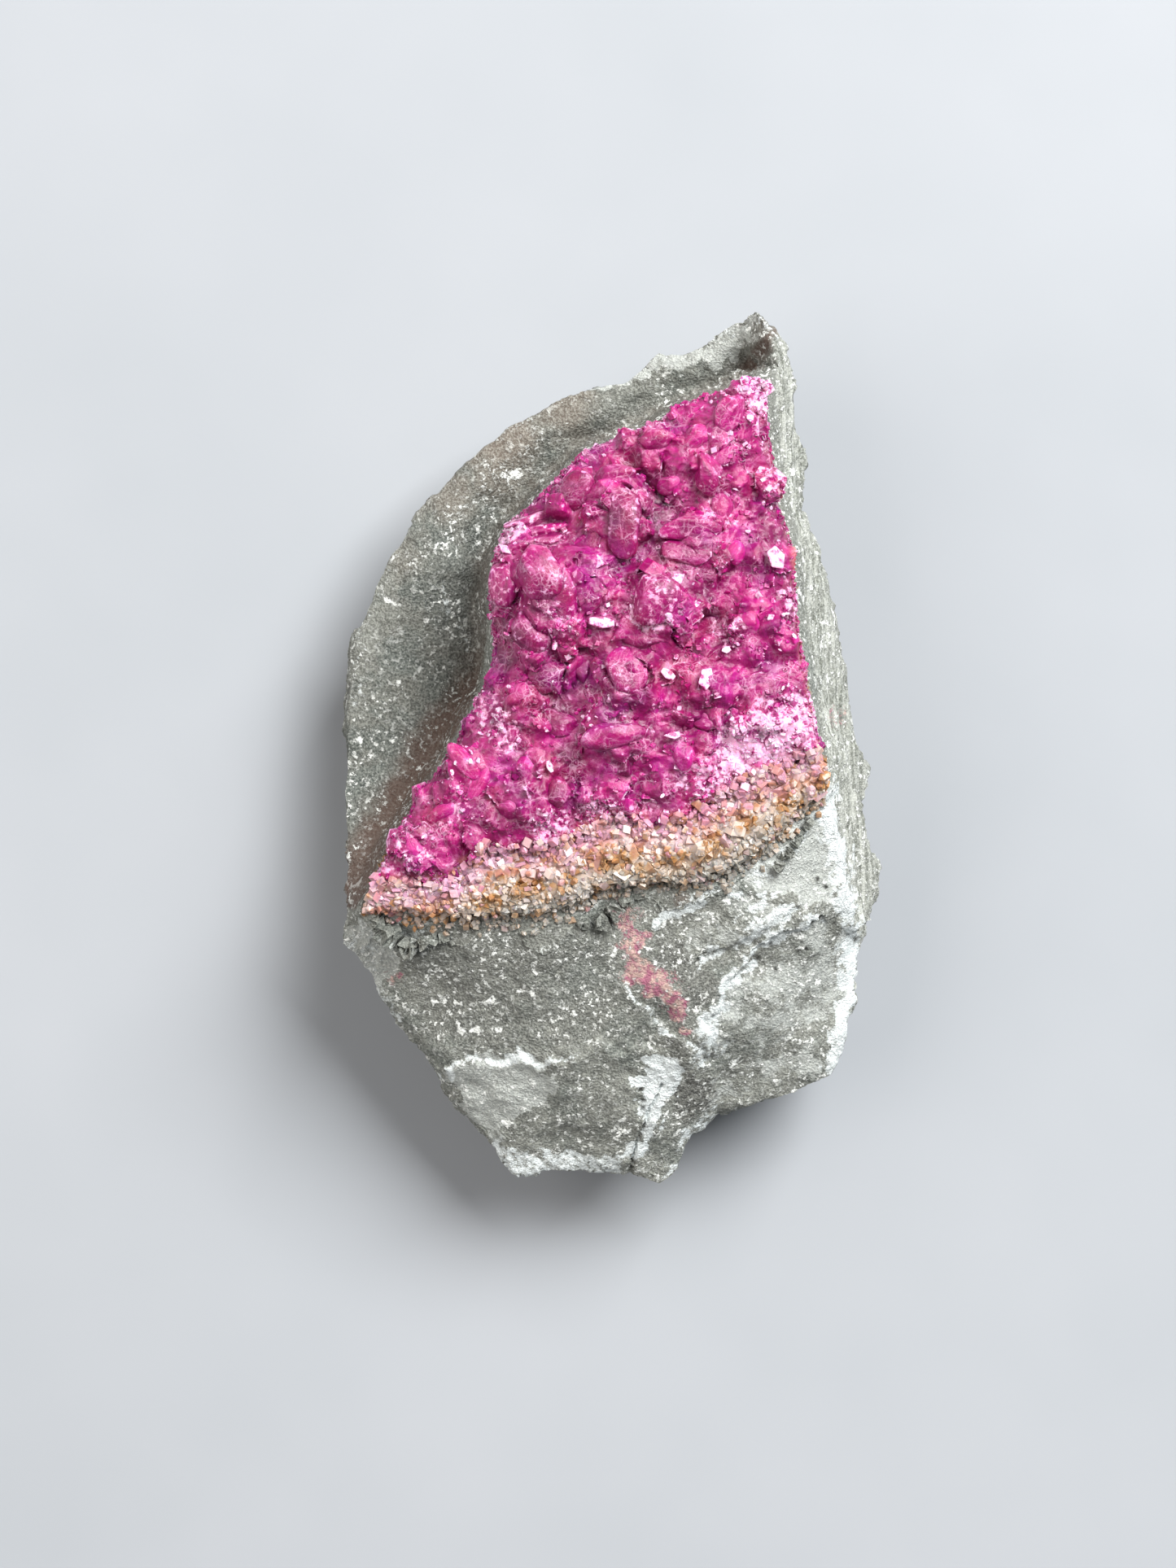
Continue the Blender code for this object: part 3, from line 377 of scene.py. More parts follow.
def sunken(places, reach):
    """How far each place lies below the skin round it, in millimetres, within a reach."""
    step = 0.3
    low = places[:, :2].min(axis=0) - reach
    cells = ((places[:, :2] - low) / step).astype(int)
    shape = cells.max(axis=0) + int(reach / step) + 2
    total, count = np.zeros(shape), np.zeros(shape)
    np.add.at(total, (cells[:, 0], cells[:, 1]), places[:, 2])
    np.add.at(count, (cells[:, 0], cells[:, 1]), 1.0)
    span = int(reach / step)
    for _ in range(2):
        total = sum(np.roll(total, k, axis=0) for k in range(-span, span + 1))
        total = sum(np.roll(total, k, axis=1) for k in range(-span, span + 1))
        count = sum(np.roll(count, k, axis=0) for k in range(-span, span + 1))
        count = sum(np.roll(count, k, axis=1) for k in range(-span, span + 1))
    level = total / np.maximum(count, 1e-9)
    return level[cells[:, 0], cells[:, 1]] - places[:, 2]


def mottle(places, size, seed=0.0, stretch=(1.0, 1.0, 1.0)):
    """Soft noise between 0 and 1 at each place, with features of about that size in millimetres."""
    shifted = places * np.array(stretch) / size + seed * np.array((1.0, 0.7, 1.3))
    return 0.5 + 0.5 * np.array([noise.noise(p) for p in shifted.tolist()])


def wandering(places):
    """The places shifted by up to about half a millimetre, so that what is drawn by lines is ragged."""
    moved = places.copy()
    for axis, seed in ((0, 31.0), (1, 37.0)):
        moved[:, axis] += 1.7 * (mottle(places, 1.7, seed=seed) - 0.5) + 0.7 * (mottle(places, 0.5, seed=seed) - 0.5)
    return moved


def smooth(low, high, values):
    share = np.clip((values - low) / (high - low), 0.0, 1.0)
    return share * share * (3.0 - 2.0 * share)


def refine(piece, times):
    """Halves every edge longer than the length wanted there, which each point carries, times a factor."""
    alone(piece)
    bpy.ops.object.mode_set(mode="EDIT")
    bpy.ops.mesh.select_mode(type="EDGE")
    for _ in range(9):
        bpy.ops.mesh.select_all(action="DESELECT")
        bm = bmesh.from_edit_mesh(piece.data)
        wanted = bm.verts.layers.float["wanted"]
        found = 0
        for edge in bm.edges:
            one, two = edge.verts
            if (one.co - two.co).length > times * 0.5 * (one[wanted] + two[wanted]):
                edge.select_set(True)
                found += 1
        bmesh.update_edit_mesh(piece.data)
        if not found:
            break
        bpy.ops.mesh.subdivide(number_cuts=1)
        bpy.ops.mesh.select_all(action="SELECT")
        bpy.ops.mesh.quads_convert_to_tris(quad_method="SHORTEST_DIAGONAL", ngon_method="BEAUTY")
    bpy.ops.object.mode_set(mode="OBJECT")


def soften(piece, weights, repeat):
    """Rounds off the facets where the weights say so."""
    alone(piece)
    group = piece.vertex_groups.new(name="soften")
    for i, weight in enumerate(weights):
        group.add([i], float(weight), "REPLACE")
    modifier = piece.modifiers.new("soften", "SMOOTH")
    modifier.factor = 0.5
    modifier.iterations = repeat
    modifier.vertex_group = group.name
    bpy.ops.object.modifier_apply(modifier=modifier.name)
    piece.vertex_groups.remove(piece.vertex_groups["soften"])


def chip_away(piece, kind, size, height, group, **settings):
    """Presses a random relief into the surface: features of a size, up to a height, where a group allows."""
    alone(piece)
    texture = bpy.data.textures.new("relief", kind)
    texture.noise_scale = size
    for name, value in settings.items():
        setattr(texture, name, value)
    modifier = piece.modifiers.new("relief", "DISPLACE")
    modifier.texture = texture
    modifier.texture_coords = "LOCAL"
    modifier.strength = height
    modifier.mid_level = 0.5
    modifier.vertex_group = group
    bpy.ops.object.modifier_apply(modifier=modifier.name)


def lift(mesh, heights, directions):
    """Moves each point along its direction by a height in millimetres."""
    moved = (places_of(mesh) + directions * heights[:, None]) * MM
    mesh.vertices.foreach_set("co", moved.ravel())
    mesh.update()


def sharpness(mesh):
    """How far each point stands proud of its neighbours, in millimetres."""
    places, normals = places_of(mesh), normals_of(mesh)
    ends = np.empty(len(mesh.edges) * 2, int)
    mesh.edges.foreach_get("vertices", ends)
    one, two = ends[0::2], ends[1::2]
    total, count = np.zeros_like(places), np.zeros(len(places))
    np.add.at(total, one, places[two])
    np.add.at(total, two, places[one])
    np.add.at(count, one, 1)
    np.add.at(count, two, 1)
    return ((places - total / np.maximum(count, 1)[:, None]) * normals).sum(axis=1)


def add(tree, kind, links=None, out=0, **settings):
    """Adds a shader node with its settings, links or fills the inputs given, and returns one output."""
    made = tree.nodes.new("ShaderNode" + kind)
    for name, value in settings.items():
        if name == "stops":
            ramp = made.color_ramp.elements
            ramp.remove(ramp[1])
            ramp[0].position, ramp[0].color = value[0]
            for place, colour in value[1:]:
                ramp.new(place).color = colour
        else:
            setattr(made, name, value)
    for name, value in (links or {}).items():
        if isinstance(value, bpy.types.NodeSocket):
            tree.links.new(value, made.inputs[name])
        else:
            made.inputs[name].default_value = value
    return made.outputs[out]


def new_material(name):
    """A material with its node tree, its shader and the place on the object that patterns read."""
    material = bpy.data.materials.new(name)
    material.use_nodes = True
    tree = material.node_tree
    return material, tree, tree.nodes["Principled BSDF"], add(tree, "TexCoord", out="Object")


def patchy(tree, place, size, low, high, detail=3.0, roughness=0.6, distortion=0.0):
    """Patches of about that size in millimetres: 0 where the noise is below low, 1 above high."""
    noisy = add(tree, "TexNoise", {"Vector": place, "Scale": 1.0 / (size * MM), "Detail": detail,
                                   "Roughness": roughness, "Distortion": distortion})
    return add(tree, "MapRange", {"Value": noisy, "From Min": low, "From Max": high})


def painted_over(tree, colour, layers):
    """Lays colours over one another; where a mask has a pattern, the colour spreads over it as the mask grows."""
    for mask, strength, pattern, over in layers:
        share = pattern
        if mask:
            share = add(tree, "Attribute", out="Fac", attribute_name=mask)
            share = add(tree, "Math", {0: share, 1: strength}, operation="MULTIPLY", use_clamp=True)
            if pattern is not None:
                share = add(tree, "Math", {0: share, 1: pattern}, operation="ADD")
                share = add(tree, "MapRange", {"Value": share, "From Min": 1.0, "From Max": 1.3})
        colour = add(tree, "Mix", {0: share, 6: colour, 7: over}, out=2, data_type="RGBA")
    return colour


def broken_dolomite(look):
    """Dolomite rock, freshly broken: dull, sugary and finely granular, with white crushed flecks and edges."""
    material, tree, shader, place = new_material("broken_dolomite")
    # The right-hand side is striated along the stone: drawn-out streaks about 0.4 mm wide.
    drawn = add(tree, "Mapping", {"Vector": place, "Scale": (1.0, 0.07, 1.0)})
    streak = patchy(tree, drawn, 0.42, 0.40, 0.60, detail=4.0)
    streaked = add(tree, "Mix", {0: streak, 6: linear("#62655B"), 7: linear("#C9CBC3")}, out=2, data_type="RGBA")
    # Sugary grains 0.2 mm across, darker and lighter than the body.
    fine = patchy(tree, place, 0.20, 0.36, 0.66, detail=2.0)
    grainy = add(tree, "Mix", {0: fine, 6: linear("#3D3F3A"), 7: linear("#A4A79E")}, out=2, data_type="RGBA")
    # White flecks of crushed rock, 0.2 to 0.4 mm and a few of 1 mm, thicker in some places than in others.
    small = patchy(tree, place, 0.44, 0.550, 0.600, detail=5.0, roughness=0.65)
    crowd = patchy(tree, place, 3.2, 0.36, 0.58, detail=5.0)
    small = add(tree, "Math", {0: small, 1: crowd}, operation="MULTIPLY")
    large = patchy(tree, place, 1.3, 0.605, 0.640, detail=7.0, roughness=0.65)
    fleck = add(tree, "Math", {0: small, 1: large}, operation="MAXIMUM")
    fresh = add(tree, "Attribute", out="Fac", attribute_name="fresh")
    fresh = add(tree, "MapRange", {"Value": fresh, "To Min": 0.20})
    fleck = add(tree, "Math", {0: fleck, 1: fresh}, operation="MULTIPLY")
    crumbs = patchy(tree, place, 0.50, 0.28, 0.72, detail=6.0, roughness=0.75)
    blotch = patchy(tree, place, 2.2, 0.30, 0.70, detail=5.0, roughness=0.7)
    veined = patchy(tree, place, 0.7, 0.42, 0.58, detail=5.0)
    veined = add(tree, "Mix", {0: veined, 6: tuple(look.vein), 7: linear("#B89B92")}, out=2, data_type="RGBA")
    body = patchy(tree, place, 3.0, 0.34, 0.66, detail=6.0)
    colour = add(tree, "Mix", {0: body, 6: tuple(look.body), 7: linear("#7F8079")}, out=2, data_type="RGBA")
    colour = painted_over(tree, colour, [
        # The hollow is weathered greener; it is also painted darker as shade in the recess, least at its rim and near
        # the tip, and it is warm towards its top; the brown by the crystals is part stain, part painted shade on the
        # wall beside them.
        ("hollow", 0.85, None, linear("#4B4A44")),
        ("hollow", 0.75, patchy(tree, place, 3.4, 0.30, 0.70, detail=5.0), linear("#343B38")),
        (None, 1.0, add(tree, "Math", {0: patchy(tree, place, 4.5, 0.50, 0.66, detail=5.0), 1: 0.5},
                        operation="MULTIPLY"), linear("#4C5855")),
        # The dark mask holds the rock's own dark patches, and painted shade beside the crystals and in the crack.
        ("dark", 0.9, None, tuple(look.shade)),
        ("warm", 0.85, None, linear("#6E5D51")),
        ("light", 1.25, blotch, tuple(look.pale)),
        ("brown", 1.0, None, tuple(look.brown)),
        ("side", 0.9, None, streaked),
    ])
    colour = add(tree, "Mix", {0: 0.42, 6: colour, 7: grainy}, out=2, data_type="RGBA")
    colour = painted_over(tree, colour, [
        # A second coat of brown darkens the grain on the wall beside the crystals: painted shade, together with the
        # stain.
        ("brown", 0.65, None, tuple(look.brown)),
        (None, 1.0, fleck, linear("#DFE1DC")),
        # Crushed edges and powder are almost white, and break up into crumbs.
        ("edge", 0.9, crumbs, linear("#C2C6C1")),
        ("powder", 1.0, crumbs, tuple(look.powder)),
        ("vein", 1.0, crumbs, veined),
        ("rust", 1.0, crumbs, linear("#8E6238")),
        ("speck", 1.0, None, linear("#23241F")),
    ])
    height = add(tree, "Math", {0: fine, 1: fleck}, operation="ADD")
    bump = add(tree, "Bump", {"Strength": 1.0, "Distance": 0.07 * MM, "Height": height})
    tree.links.new(colour, shader.inputs["Base Color"])
    tree.links.new(bump, shader.inputs["Normal"])
    shader.inputs["Roughness"].default_value = 0.86
    shader.inputs["IOR"].default_value = 1.5
    return material


def cobaltoan_calcite(look):
    """Cobaltoan calcite, as grown: glassy faces, and light that goes in a little way and comes out magenta."""
    material, tree, shader, place = new_material("cobaltoan_calcite_crystals")
    # The tone attribute carries the crystals' own colour, lowered as painted shade in valleys and for sunken crystals.
    tone = add(tree, "Attribute", out="Fac", attribute_name="tone")
    patch = patchy(tree, place, 2.2, 0.32, 0.68, detail=3.0)
    tone = add(tree, "Mix", {0: 0.38, 2: tone, 3: patch})
    stops = [(0.0, linear("#43042E")), (0.36, tuple(look.deep)), (0.68, linear("#A8106E")), (1.0, tuple(look.bright))]
    colour = add(tree, "ValToRGB", {"Fac": tone}, stops=stops)
    # The same cobalt colour turns from crimson to violet over 3 or 4 mm.
    crimson = patchy(tree, place, 3.4, 0.50, 0.66)
    violet = patchy(tree, place, 4.1, 0.52, 0.66)
    # Veils of pale inclusions follow the growth layers: 0.4 mm across, and a few millimetres long.
    layer = add(tree, "Attribute", out="Fac", attribute_name="layer")
    across = add(tree, "Math", {0: layer, 1: 15.0}, operation="MULTIPLY")
    along = add(tree, "Mapping", {"Vector": place, "Scale": (1 / (1.7 * MM),) * 3})
    flat = add(tree, "SeparateXYZ", {"Vector": along})
    nearby = add(tree, "SeparateXYZ", {"Vector": along}, out=1)
    layered = add(tree, "CombineXYZ", {"X": across, "Y": flat, "Z": nearby})
    veil = add(tree, "TexNoise", {"Vector": layered, "Scale": 1.0, "Detail": 7.0, "Roughness": 0.68, "Distortion": 0.7})
    clear = add(tree, "MapRange", {"Value": veil, "From Min": 0.48, "From Max": 0.36, "To Max": 0.60})
    veil = add(tree, "MapRange", {"Value": veil, "From Min": 0.53, "From Max": 0.66})
    # Fine pale threads where crystals meet and along cleavage, about 1.1 mm and 0.5 mm apart.
    bent = add(tree, "TexNoise", {"Vector": place, "Scale": 1 / (0.9 * MM), "Detail": 3.0}, out="Color")
    bent = add(tree, "VectorMath", {0: bent, 1: (0.9 * MM,) * 3}, operation="MULTIPLY")
    bent = add(tree, "VectorMath", {0: place, 1: bent}, operation="ADD")
    thread = add(tree, "TexVoronoi", {"Vector": bent, "Scale": 1 / (1.1 * MM)}, feature="DISTANCE_TO_EDGE")
    thread = add(tree, "MapRange", {"Value": thread, "From Min": 0.060, "From Max": 0.010})
    hair = add(tree, "TexVoronoi", {"Vector": bent, "Scale": 1 / (0.52 * MM)}, feature="DISTANCE_TO_EDGE")
    hair = add(tree, "MapRange", {"Value": hair, "From Min": 0.085, "From Max": 0.020, "To Max": 0.55})
    thread = add(tree, "Math", {0: thread, 1: hair}, operation="MAXIMUM")
    thread = add(tree, "Math", {0: thread, 1: patchy(tree, place, 1.8, 0.46, 0.64)}, operation="MULTIPLY")
    frost = add(tree, "Attribute", out="Fac", attribute_name="frost")
    more = add(tree, "MapRange", {"Value": frost, "To Min": 0.26, "To Max": 0.90})
    veil = add(tree, "Math", {0: veil, 1: more}, operation="MULTIPLY")
    crumbs = patchy(tree, place, 0.55, 0.25, 0.62, detail=5.0)
    colour = painted_over(tree, colour, [
        (None, 1.0, add(tree, "Math", {0: crimson, 1: 0.50}, operation="MULTIPLY"), linear("#A01A50")),
        (None, 1.0, add(tree, "Math", {0: violet, 1: 0.40}, operation="MULTIPLY"), linear("#94187F")),
        (None, 1.0, clear, linear("#680640")),
        (None, 1.0, veil, linear("#E288C2")),
        ("frost", 0.9, crumbs, tuple(look.frost)),
        ("edge", 0.50, crumbs, linear("#E3A6CF")),
        (None, 1.0, add(tree, "Math", {0: thread, 1: 0.52}, operation="MULTIPLY"), linear("#EAB6D5")),
        ("rust", 1.0, None, linear("#C98A57")),
    ])
    # Only cleavage faces, which carry the glint mask, shine like glass; the veils are duller.
    glint = add(tree, "Attribute", out="Fac", attribute_name="glint")
    rough = add(tree, "MapRange", {"Value": glint, "To Min": 0.34, "To Max": 0.14})
    rough = add(tree, "Math", {0: rough, 1: veil, 2: 0.0}, operation="MAXIMUM")
    ripple = patchy(tree, place, 0.24, 0.30, 0.70, detail=4.0)
    ripple = add(tree, "Math", {0: ripple, 1: veil}, operation="ADD")
    bump = add(tree, "Bump", {"Strength": 0.60, "Distance": 0.06 * MM, "Height": ripple})
    tree.links.new(colour, shader.inputs["Base Color"])
    tree.links.new(rough, shader.inputs["Roughness"])
    tree.links.new(bump, shader.inputs["Normal"])
    shader.inputs["IOR"].default_value = 1.55
    shader.inputs["Specular IOR Level"].default_value = 0.40
    shader.inputs["Transmission Weight"].default_value = 0.10
    shader.inputs["Subsurface Weight"].default_value = 0.50
    shader.inputs["Subsurface Radius"].default_value = (0.8, 0.25, 0.50)
    shader.inputs["Subsurface Scale"].default_value = 0.6 * MM
    return material


def iron_stained_calcite(look):
    """Sugary calcite stained by iron: cream grains with ochre and rust between them, and small glints."""
    material, tree, shader, place = new_material("iron_stained_calcite_grains")
    tone = add(tree, "Attribute", out="Fac", attribute_name="tone")
    tone = add(tree, "Mix", {0: 0.6, 2: tone, 3: patchy(tree, place, 2.1, 0.38, 0.62, detail=5.0)})
    stops = [(0.08, tuple(look.rust)), (0.30, tuple(look.ochre)), (0.46, linear("#A67A4C")), (0.66, tuple(look.cream))]
    colour = painted_over(tree, add(tree, "ValToRGB", {"Fac": tone}, stops=stops), [
        ("frost", 0.9, None, linear("#C387A2")),
        ("grey", 1.0, None, linear("#8E8C85")),
    ])
    bump = add(tree, "Bump", {"Strength": 0.4, "Distance": 0.05 * MM, "Height": patchy(tree, place, 0.25, 0.3, 0.7)})
    tree.links.new(colour, shader.inputs["Base Color"])
    tree.links.new(bump, shader.inputs["Normal"])
    shader.inputs["Roughness"].default_value = 0.34
    shader.inputs["IOR"].default_value = 1.58
    shader.inputs["Subsurface Weight"].default_value = 0.50
    shader.inputs["Subsurface Radius"].default_value = (1.0, 0.7, 0.45)
    shader.inputs["Subsurface Scale"].default_value = 0.6 * MM
    return material


def matt_card(look):
    """Plain matt card under the stone: even and almost without gloss."""
    material, tree, shader, place = new_material("matt_card")
    shade = patchy(tree, place, 40.0, 0.2, 0.8)
    colour = add(tree, "Mix", {0: shade, 6: tuple(look.floor), 7: linear("#92969A")}, out=2, data_type="RGBA")
    tree.links.new(colour, shader.inputs["Base Color"])
    shader.inputs["Roughness"].default_value = 0.9
    return material


def shape_from_edit():
    """Takes the shape being edited away as its corners and faces, to be copied."""
    bpy.ops.object.mode_set(mode="OBJECT")
    piece = bpy.context.object
    corners = np.array([v.co[:] for v in piece.data.vertices])
    faces = [tuple(p.vertices) for p in piece.data.polygons]
    bpy.data.objects.remove(piece)
    return corners, faces


def rhomb(flatness, bevel=0.0):
    """A cleavage rhomb standing on its point, a unit from its middle to its widest corners."""
    bpy.ops.object.select_all(action="DESELECT")
    bpy.ops.mesh.primitive_cube_add(size=2 / math.sqrt(3))
    bpy.ops.object.mode_set(mode="EDIT")
    bpy.ops.transform.rotate(value=math.radians(45), orient_axis="X", center_override=(0, 0, 0))
    bpy.ops.transform.rotate(value=math.atan(1 / math.sqrt(2)), orient_axis="Y", center_override=(0, 0, 0))
    bpy.ops.transform.resize(value=(1, 1, flatness), center_override=(0, 0, 0))
    if bevel:
        bpy.ops.mesh.bevel(offset=bevel, segments=2, affect="EDGES")
    return shape_from_edit()


def ball():
    """A round start for a lens."""
    bpy.ops.object.select_all(action="DESELECT")
    bpy.ops.mesh.primitive_ico_sphere_add(subdivisions=4, radius=1)
    return shape_from_edit()


def lens(start, seed):
    """A rounded crystal: a ball cut by a few planes whose edges have grown soft."""
    corners, faces = start
    rng = np.random.default_rng(seed)
    cuts = rng.normal(size=(11, 3))
    cuts /= np.linalg.norm(cuts, axis=1)[:, None]
    depths = rng.uniform(0.62, 0.95, 11)
    facing = np.clip(corners @ cuts.T, 0.0, None) / depths
    reach = (facing ** 26).sum(axis=1) + 1.0
    return corners * (reach ** (-1 / 26))[:, None], faces


def dog_tooth(slenderness, thickness):
    """A six-sided point at each end and a zigzag girdle: a scalenohedron, flattened one way."""
    bpy.ops.object.select_all(action="DESELECT")
    bpy.ops.mesh.primitive_uv_sphere_add(segments=6, ring_count=2, radius=1)
    bpy.ops.object.mode_set(mode="EDIT")
    bm = bmesh.from_edit_mesh(bpy.context.object.data)
    girdle = sorted((v for v in bm.verts if abs(v.co.z) < 0.5), key=lambda v: math.atan2(v.co.y, v.co.x))
    bpy.ops.mesh.select_all(action="DESELECT")
    for vert in girdle[::2]:
        vert.select_set(True)
    bmesh.update_edit_mesh(bpy.context.object.data)
    bpy.ops.transform.translate(value=(0, 0, 0.34))
    bpy.ops.mesh.select_all(action="SELECT")
    bpy.ops.transform.resize(value=(1 / slenderness, thickness / slenderness, 1), center_override=(0, 0, 0))
    return shape_from_edit()


def leaf(corners, width):
    """A thin leaf with a few corners and bevelled rims, as in a rosette."""
    bpy.ops.object.select_all(action="DESELECT")
    bpy.ops.mesh.primitive_cylinder_add(vertices=corners, radius=1, depth=0.26)
    bpy.ops.object.mode_set(mode="EDIT")
    bpy.ops.transform.resize(value=(1, width, 1), center_override=(0, 0, 0))
    bpy.ops.mesh.bevel(offset=0.07, segments=1, affect="EDGES")
    return shape_from_edit()


def grown(name, crystals):
    """One mesh of many crystals, from (shape, matrix, masks) for each."""
    corners, faces = [], []
    masks = {}
    first = 0
    for (shape, sides), matrix, painted in crystals:
        turn = np.array(matrix.to_3x3())
        corners.append(shape @ turn.T + np.array(matrix.translation))
        faces += [tuple(first + i for i in side) for side in sides]
        for mask, value in painted.items():
            masks.setdefault(mask, []).append(np.full(len(shape), value))
        drift = 0.37 * len(corners) % 5.0
        masks.setdefault("layer", []).append(drift + 0.20 * shape[:, 1] + 0.10 * shape[:, 2] + 0.06 * shape[:, 0] ** 2)
        first += len(shape)
    mesh = bpy.data.meshes.new(name)
    mesh.from_pydata(np.concatenate(corners).tolist(), [], faces)
    mesh.update()
    for mask, parts in masks.items():
        paint(mesh, mask, np.concatenate(parts))
    piece = bpy.data.objects.new(name, mesh)
    bpy.context.scene.collection.objects.link(piece)
    return piece


def seats(piece, count, reach, seed):
    """Random places over the piece's upper skin: (point, direction outward, depth below its surroundings)."""
    mesh = piece.data
    mesh.calc_loop_triangles()
    skin = BVHTree.FromPolygons([v.co for v in mesh.vertices], [t.vertices for t in mesh.loop_triangles])
    rng = np.random.default_rng(seed)
    sides = [t for t in mesh.loop_triangles if t.normal.z > -0.35]
    areas = np.array([t.area for t in sides])
    found = []
    for k in rng.choice(len(sides), size=count, p=areas / areas.sum()):
        a, b, c = (mesh.vertices[i].co for i in sides[k].vertices)
        u, v = sorted(rng.random(2))
        point = a * u + b * (v - u) + c * (1 - v)
        outward, level, weight = Vector((0, 0, 0.4)), 0.0, 0.0
        for place, normal, _, gap in skin.find_nearest_range(point, reach):
            if normal.z > -0.5:
                share = 1.0 - gap / reach
                outward += normal * share
                level += place.z * share
                weight += share
        outward.normalize()
        found.append((point, outward, level / weight - point.z if weight else 0.0))
    return found


def grow(seats_found, shapes, size, sink, lean, masks_at, seed):
    """A crystal on each seat: (shape, matrix, masks), leaning at random from the outward direction."""
    rng = random.Random(seed)
    found = []
    for point, outward, depth in seats_found:
        long = size * rng.uniform(0.55, 1.55)
        tilt = Vector([rng.gauss(0, lean) for _ in range(3)])
        turn = (outward + tilt).to_track_quat("Z", "Y").to_matrix().to_4x4()
        spin = Matrix.Rotation(rng.uniform(0, math.tau), 4, "Z")
        place = Matrix.Translation(point - outward * long * sink)
        matrix = place @ turn @ spin @ Matrix.Scale(long, 4)
        found.append((rng.choice(shapes), matrix, masks_at(point, rng, depth)))
    return found


def spot_value(point, spots):
    return float(from_spots(np.array([[point.x / MM, point.y / MM, 0.0]]), spots)[0])


def crystal_masks(point, rng, depth):
    """Tone, frost and rust of a crystal from where it sits."""
    frost = spot_value(point, FROSTED) * rng.uniform(0.3, 1.1)
    if rng.random() < 0.12:
        frost = max(frost, rng.uniform(0.3, 0.8))
    deep = spot_value(point, DEEP)
    # A crystal sunk below its surroundings gets a lower, darker tone: painted shade.
    tone = 0.62 + rng.uniform(-0.40, 0.40) - 0.40 * deep - 0.25 * min(1.0, max(0.0, depth / (0.8 * MM)))
    return {"tone": tone, "frost": frost * (1.0 - 0.6 * deep), "rust": 0.0, "glint": 1.0, "edge": 0.0}


def seam_masks(point, rng, depth):
    """Tone of a grain, pinker near the crystals and greyer near the rock."""
    gap, _ = from_line(np.array([[point.x / MM, point.y / MM, 0.0]]), LINE_OF_SEAM)
    down = float(gap[0])
    frost = max(0.0, 1.0 - down / 2.6) * rng.uniform(0.2, 1.4) + (rng.random() < 0.10) * 0.5
    grey = 0.5 * max(0.0, down - 2.8) * rng.uniform(0.2, 1.3)
    # A grain sunk below its surroundings gets a lower, darker tone, towards rust: painted shade.
    tone = 0.60 + rng.uniform(-0.55, 0.55) - 0.35 * min(1.0, max(0.0, depth / (0.4 * MM)))
    return {"tone": tone, "frost": min(1.0, frost), "grey": min(0.9, grey)}


def sink_foot(mesh):
    """Lowers the underside by 0.3 mm, so that no gap shows where the rock beneath is chipped."""
    places, normals = places_of(mesh), normals_of(mesh)
    places[:, 2] -= 0.3 * (normals[:, 2] < -0.45)
    mesh.vertices.foreach_set("co", (places * MM).ravel())
    mesh.update()


def join(pieces):
    """Joins the pieces into the first."""
    alone(pieces[0])
    for piece in pieces[1:]:
        piece.select_set(True)
    bpy.ops.object.join()
    return pieces[0]


def finish_piece(piece, material, node):
    """Gives a finished piece its material, and puts it in place of its plain solid."""
    piece.data.materials.clear()
    piece.data.materials.append(material)
    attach(piece, "root")
    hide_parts(node)


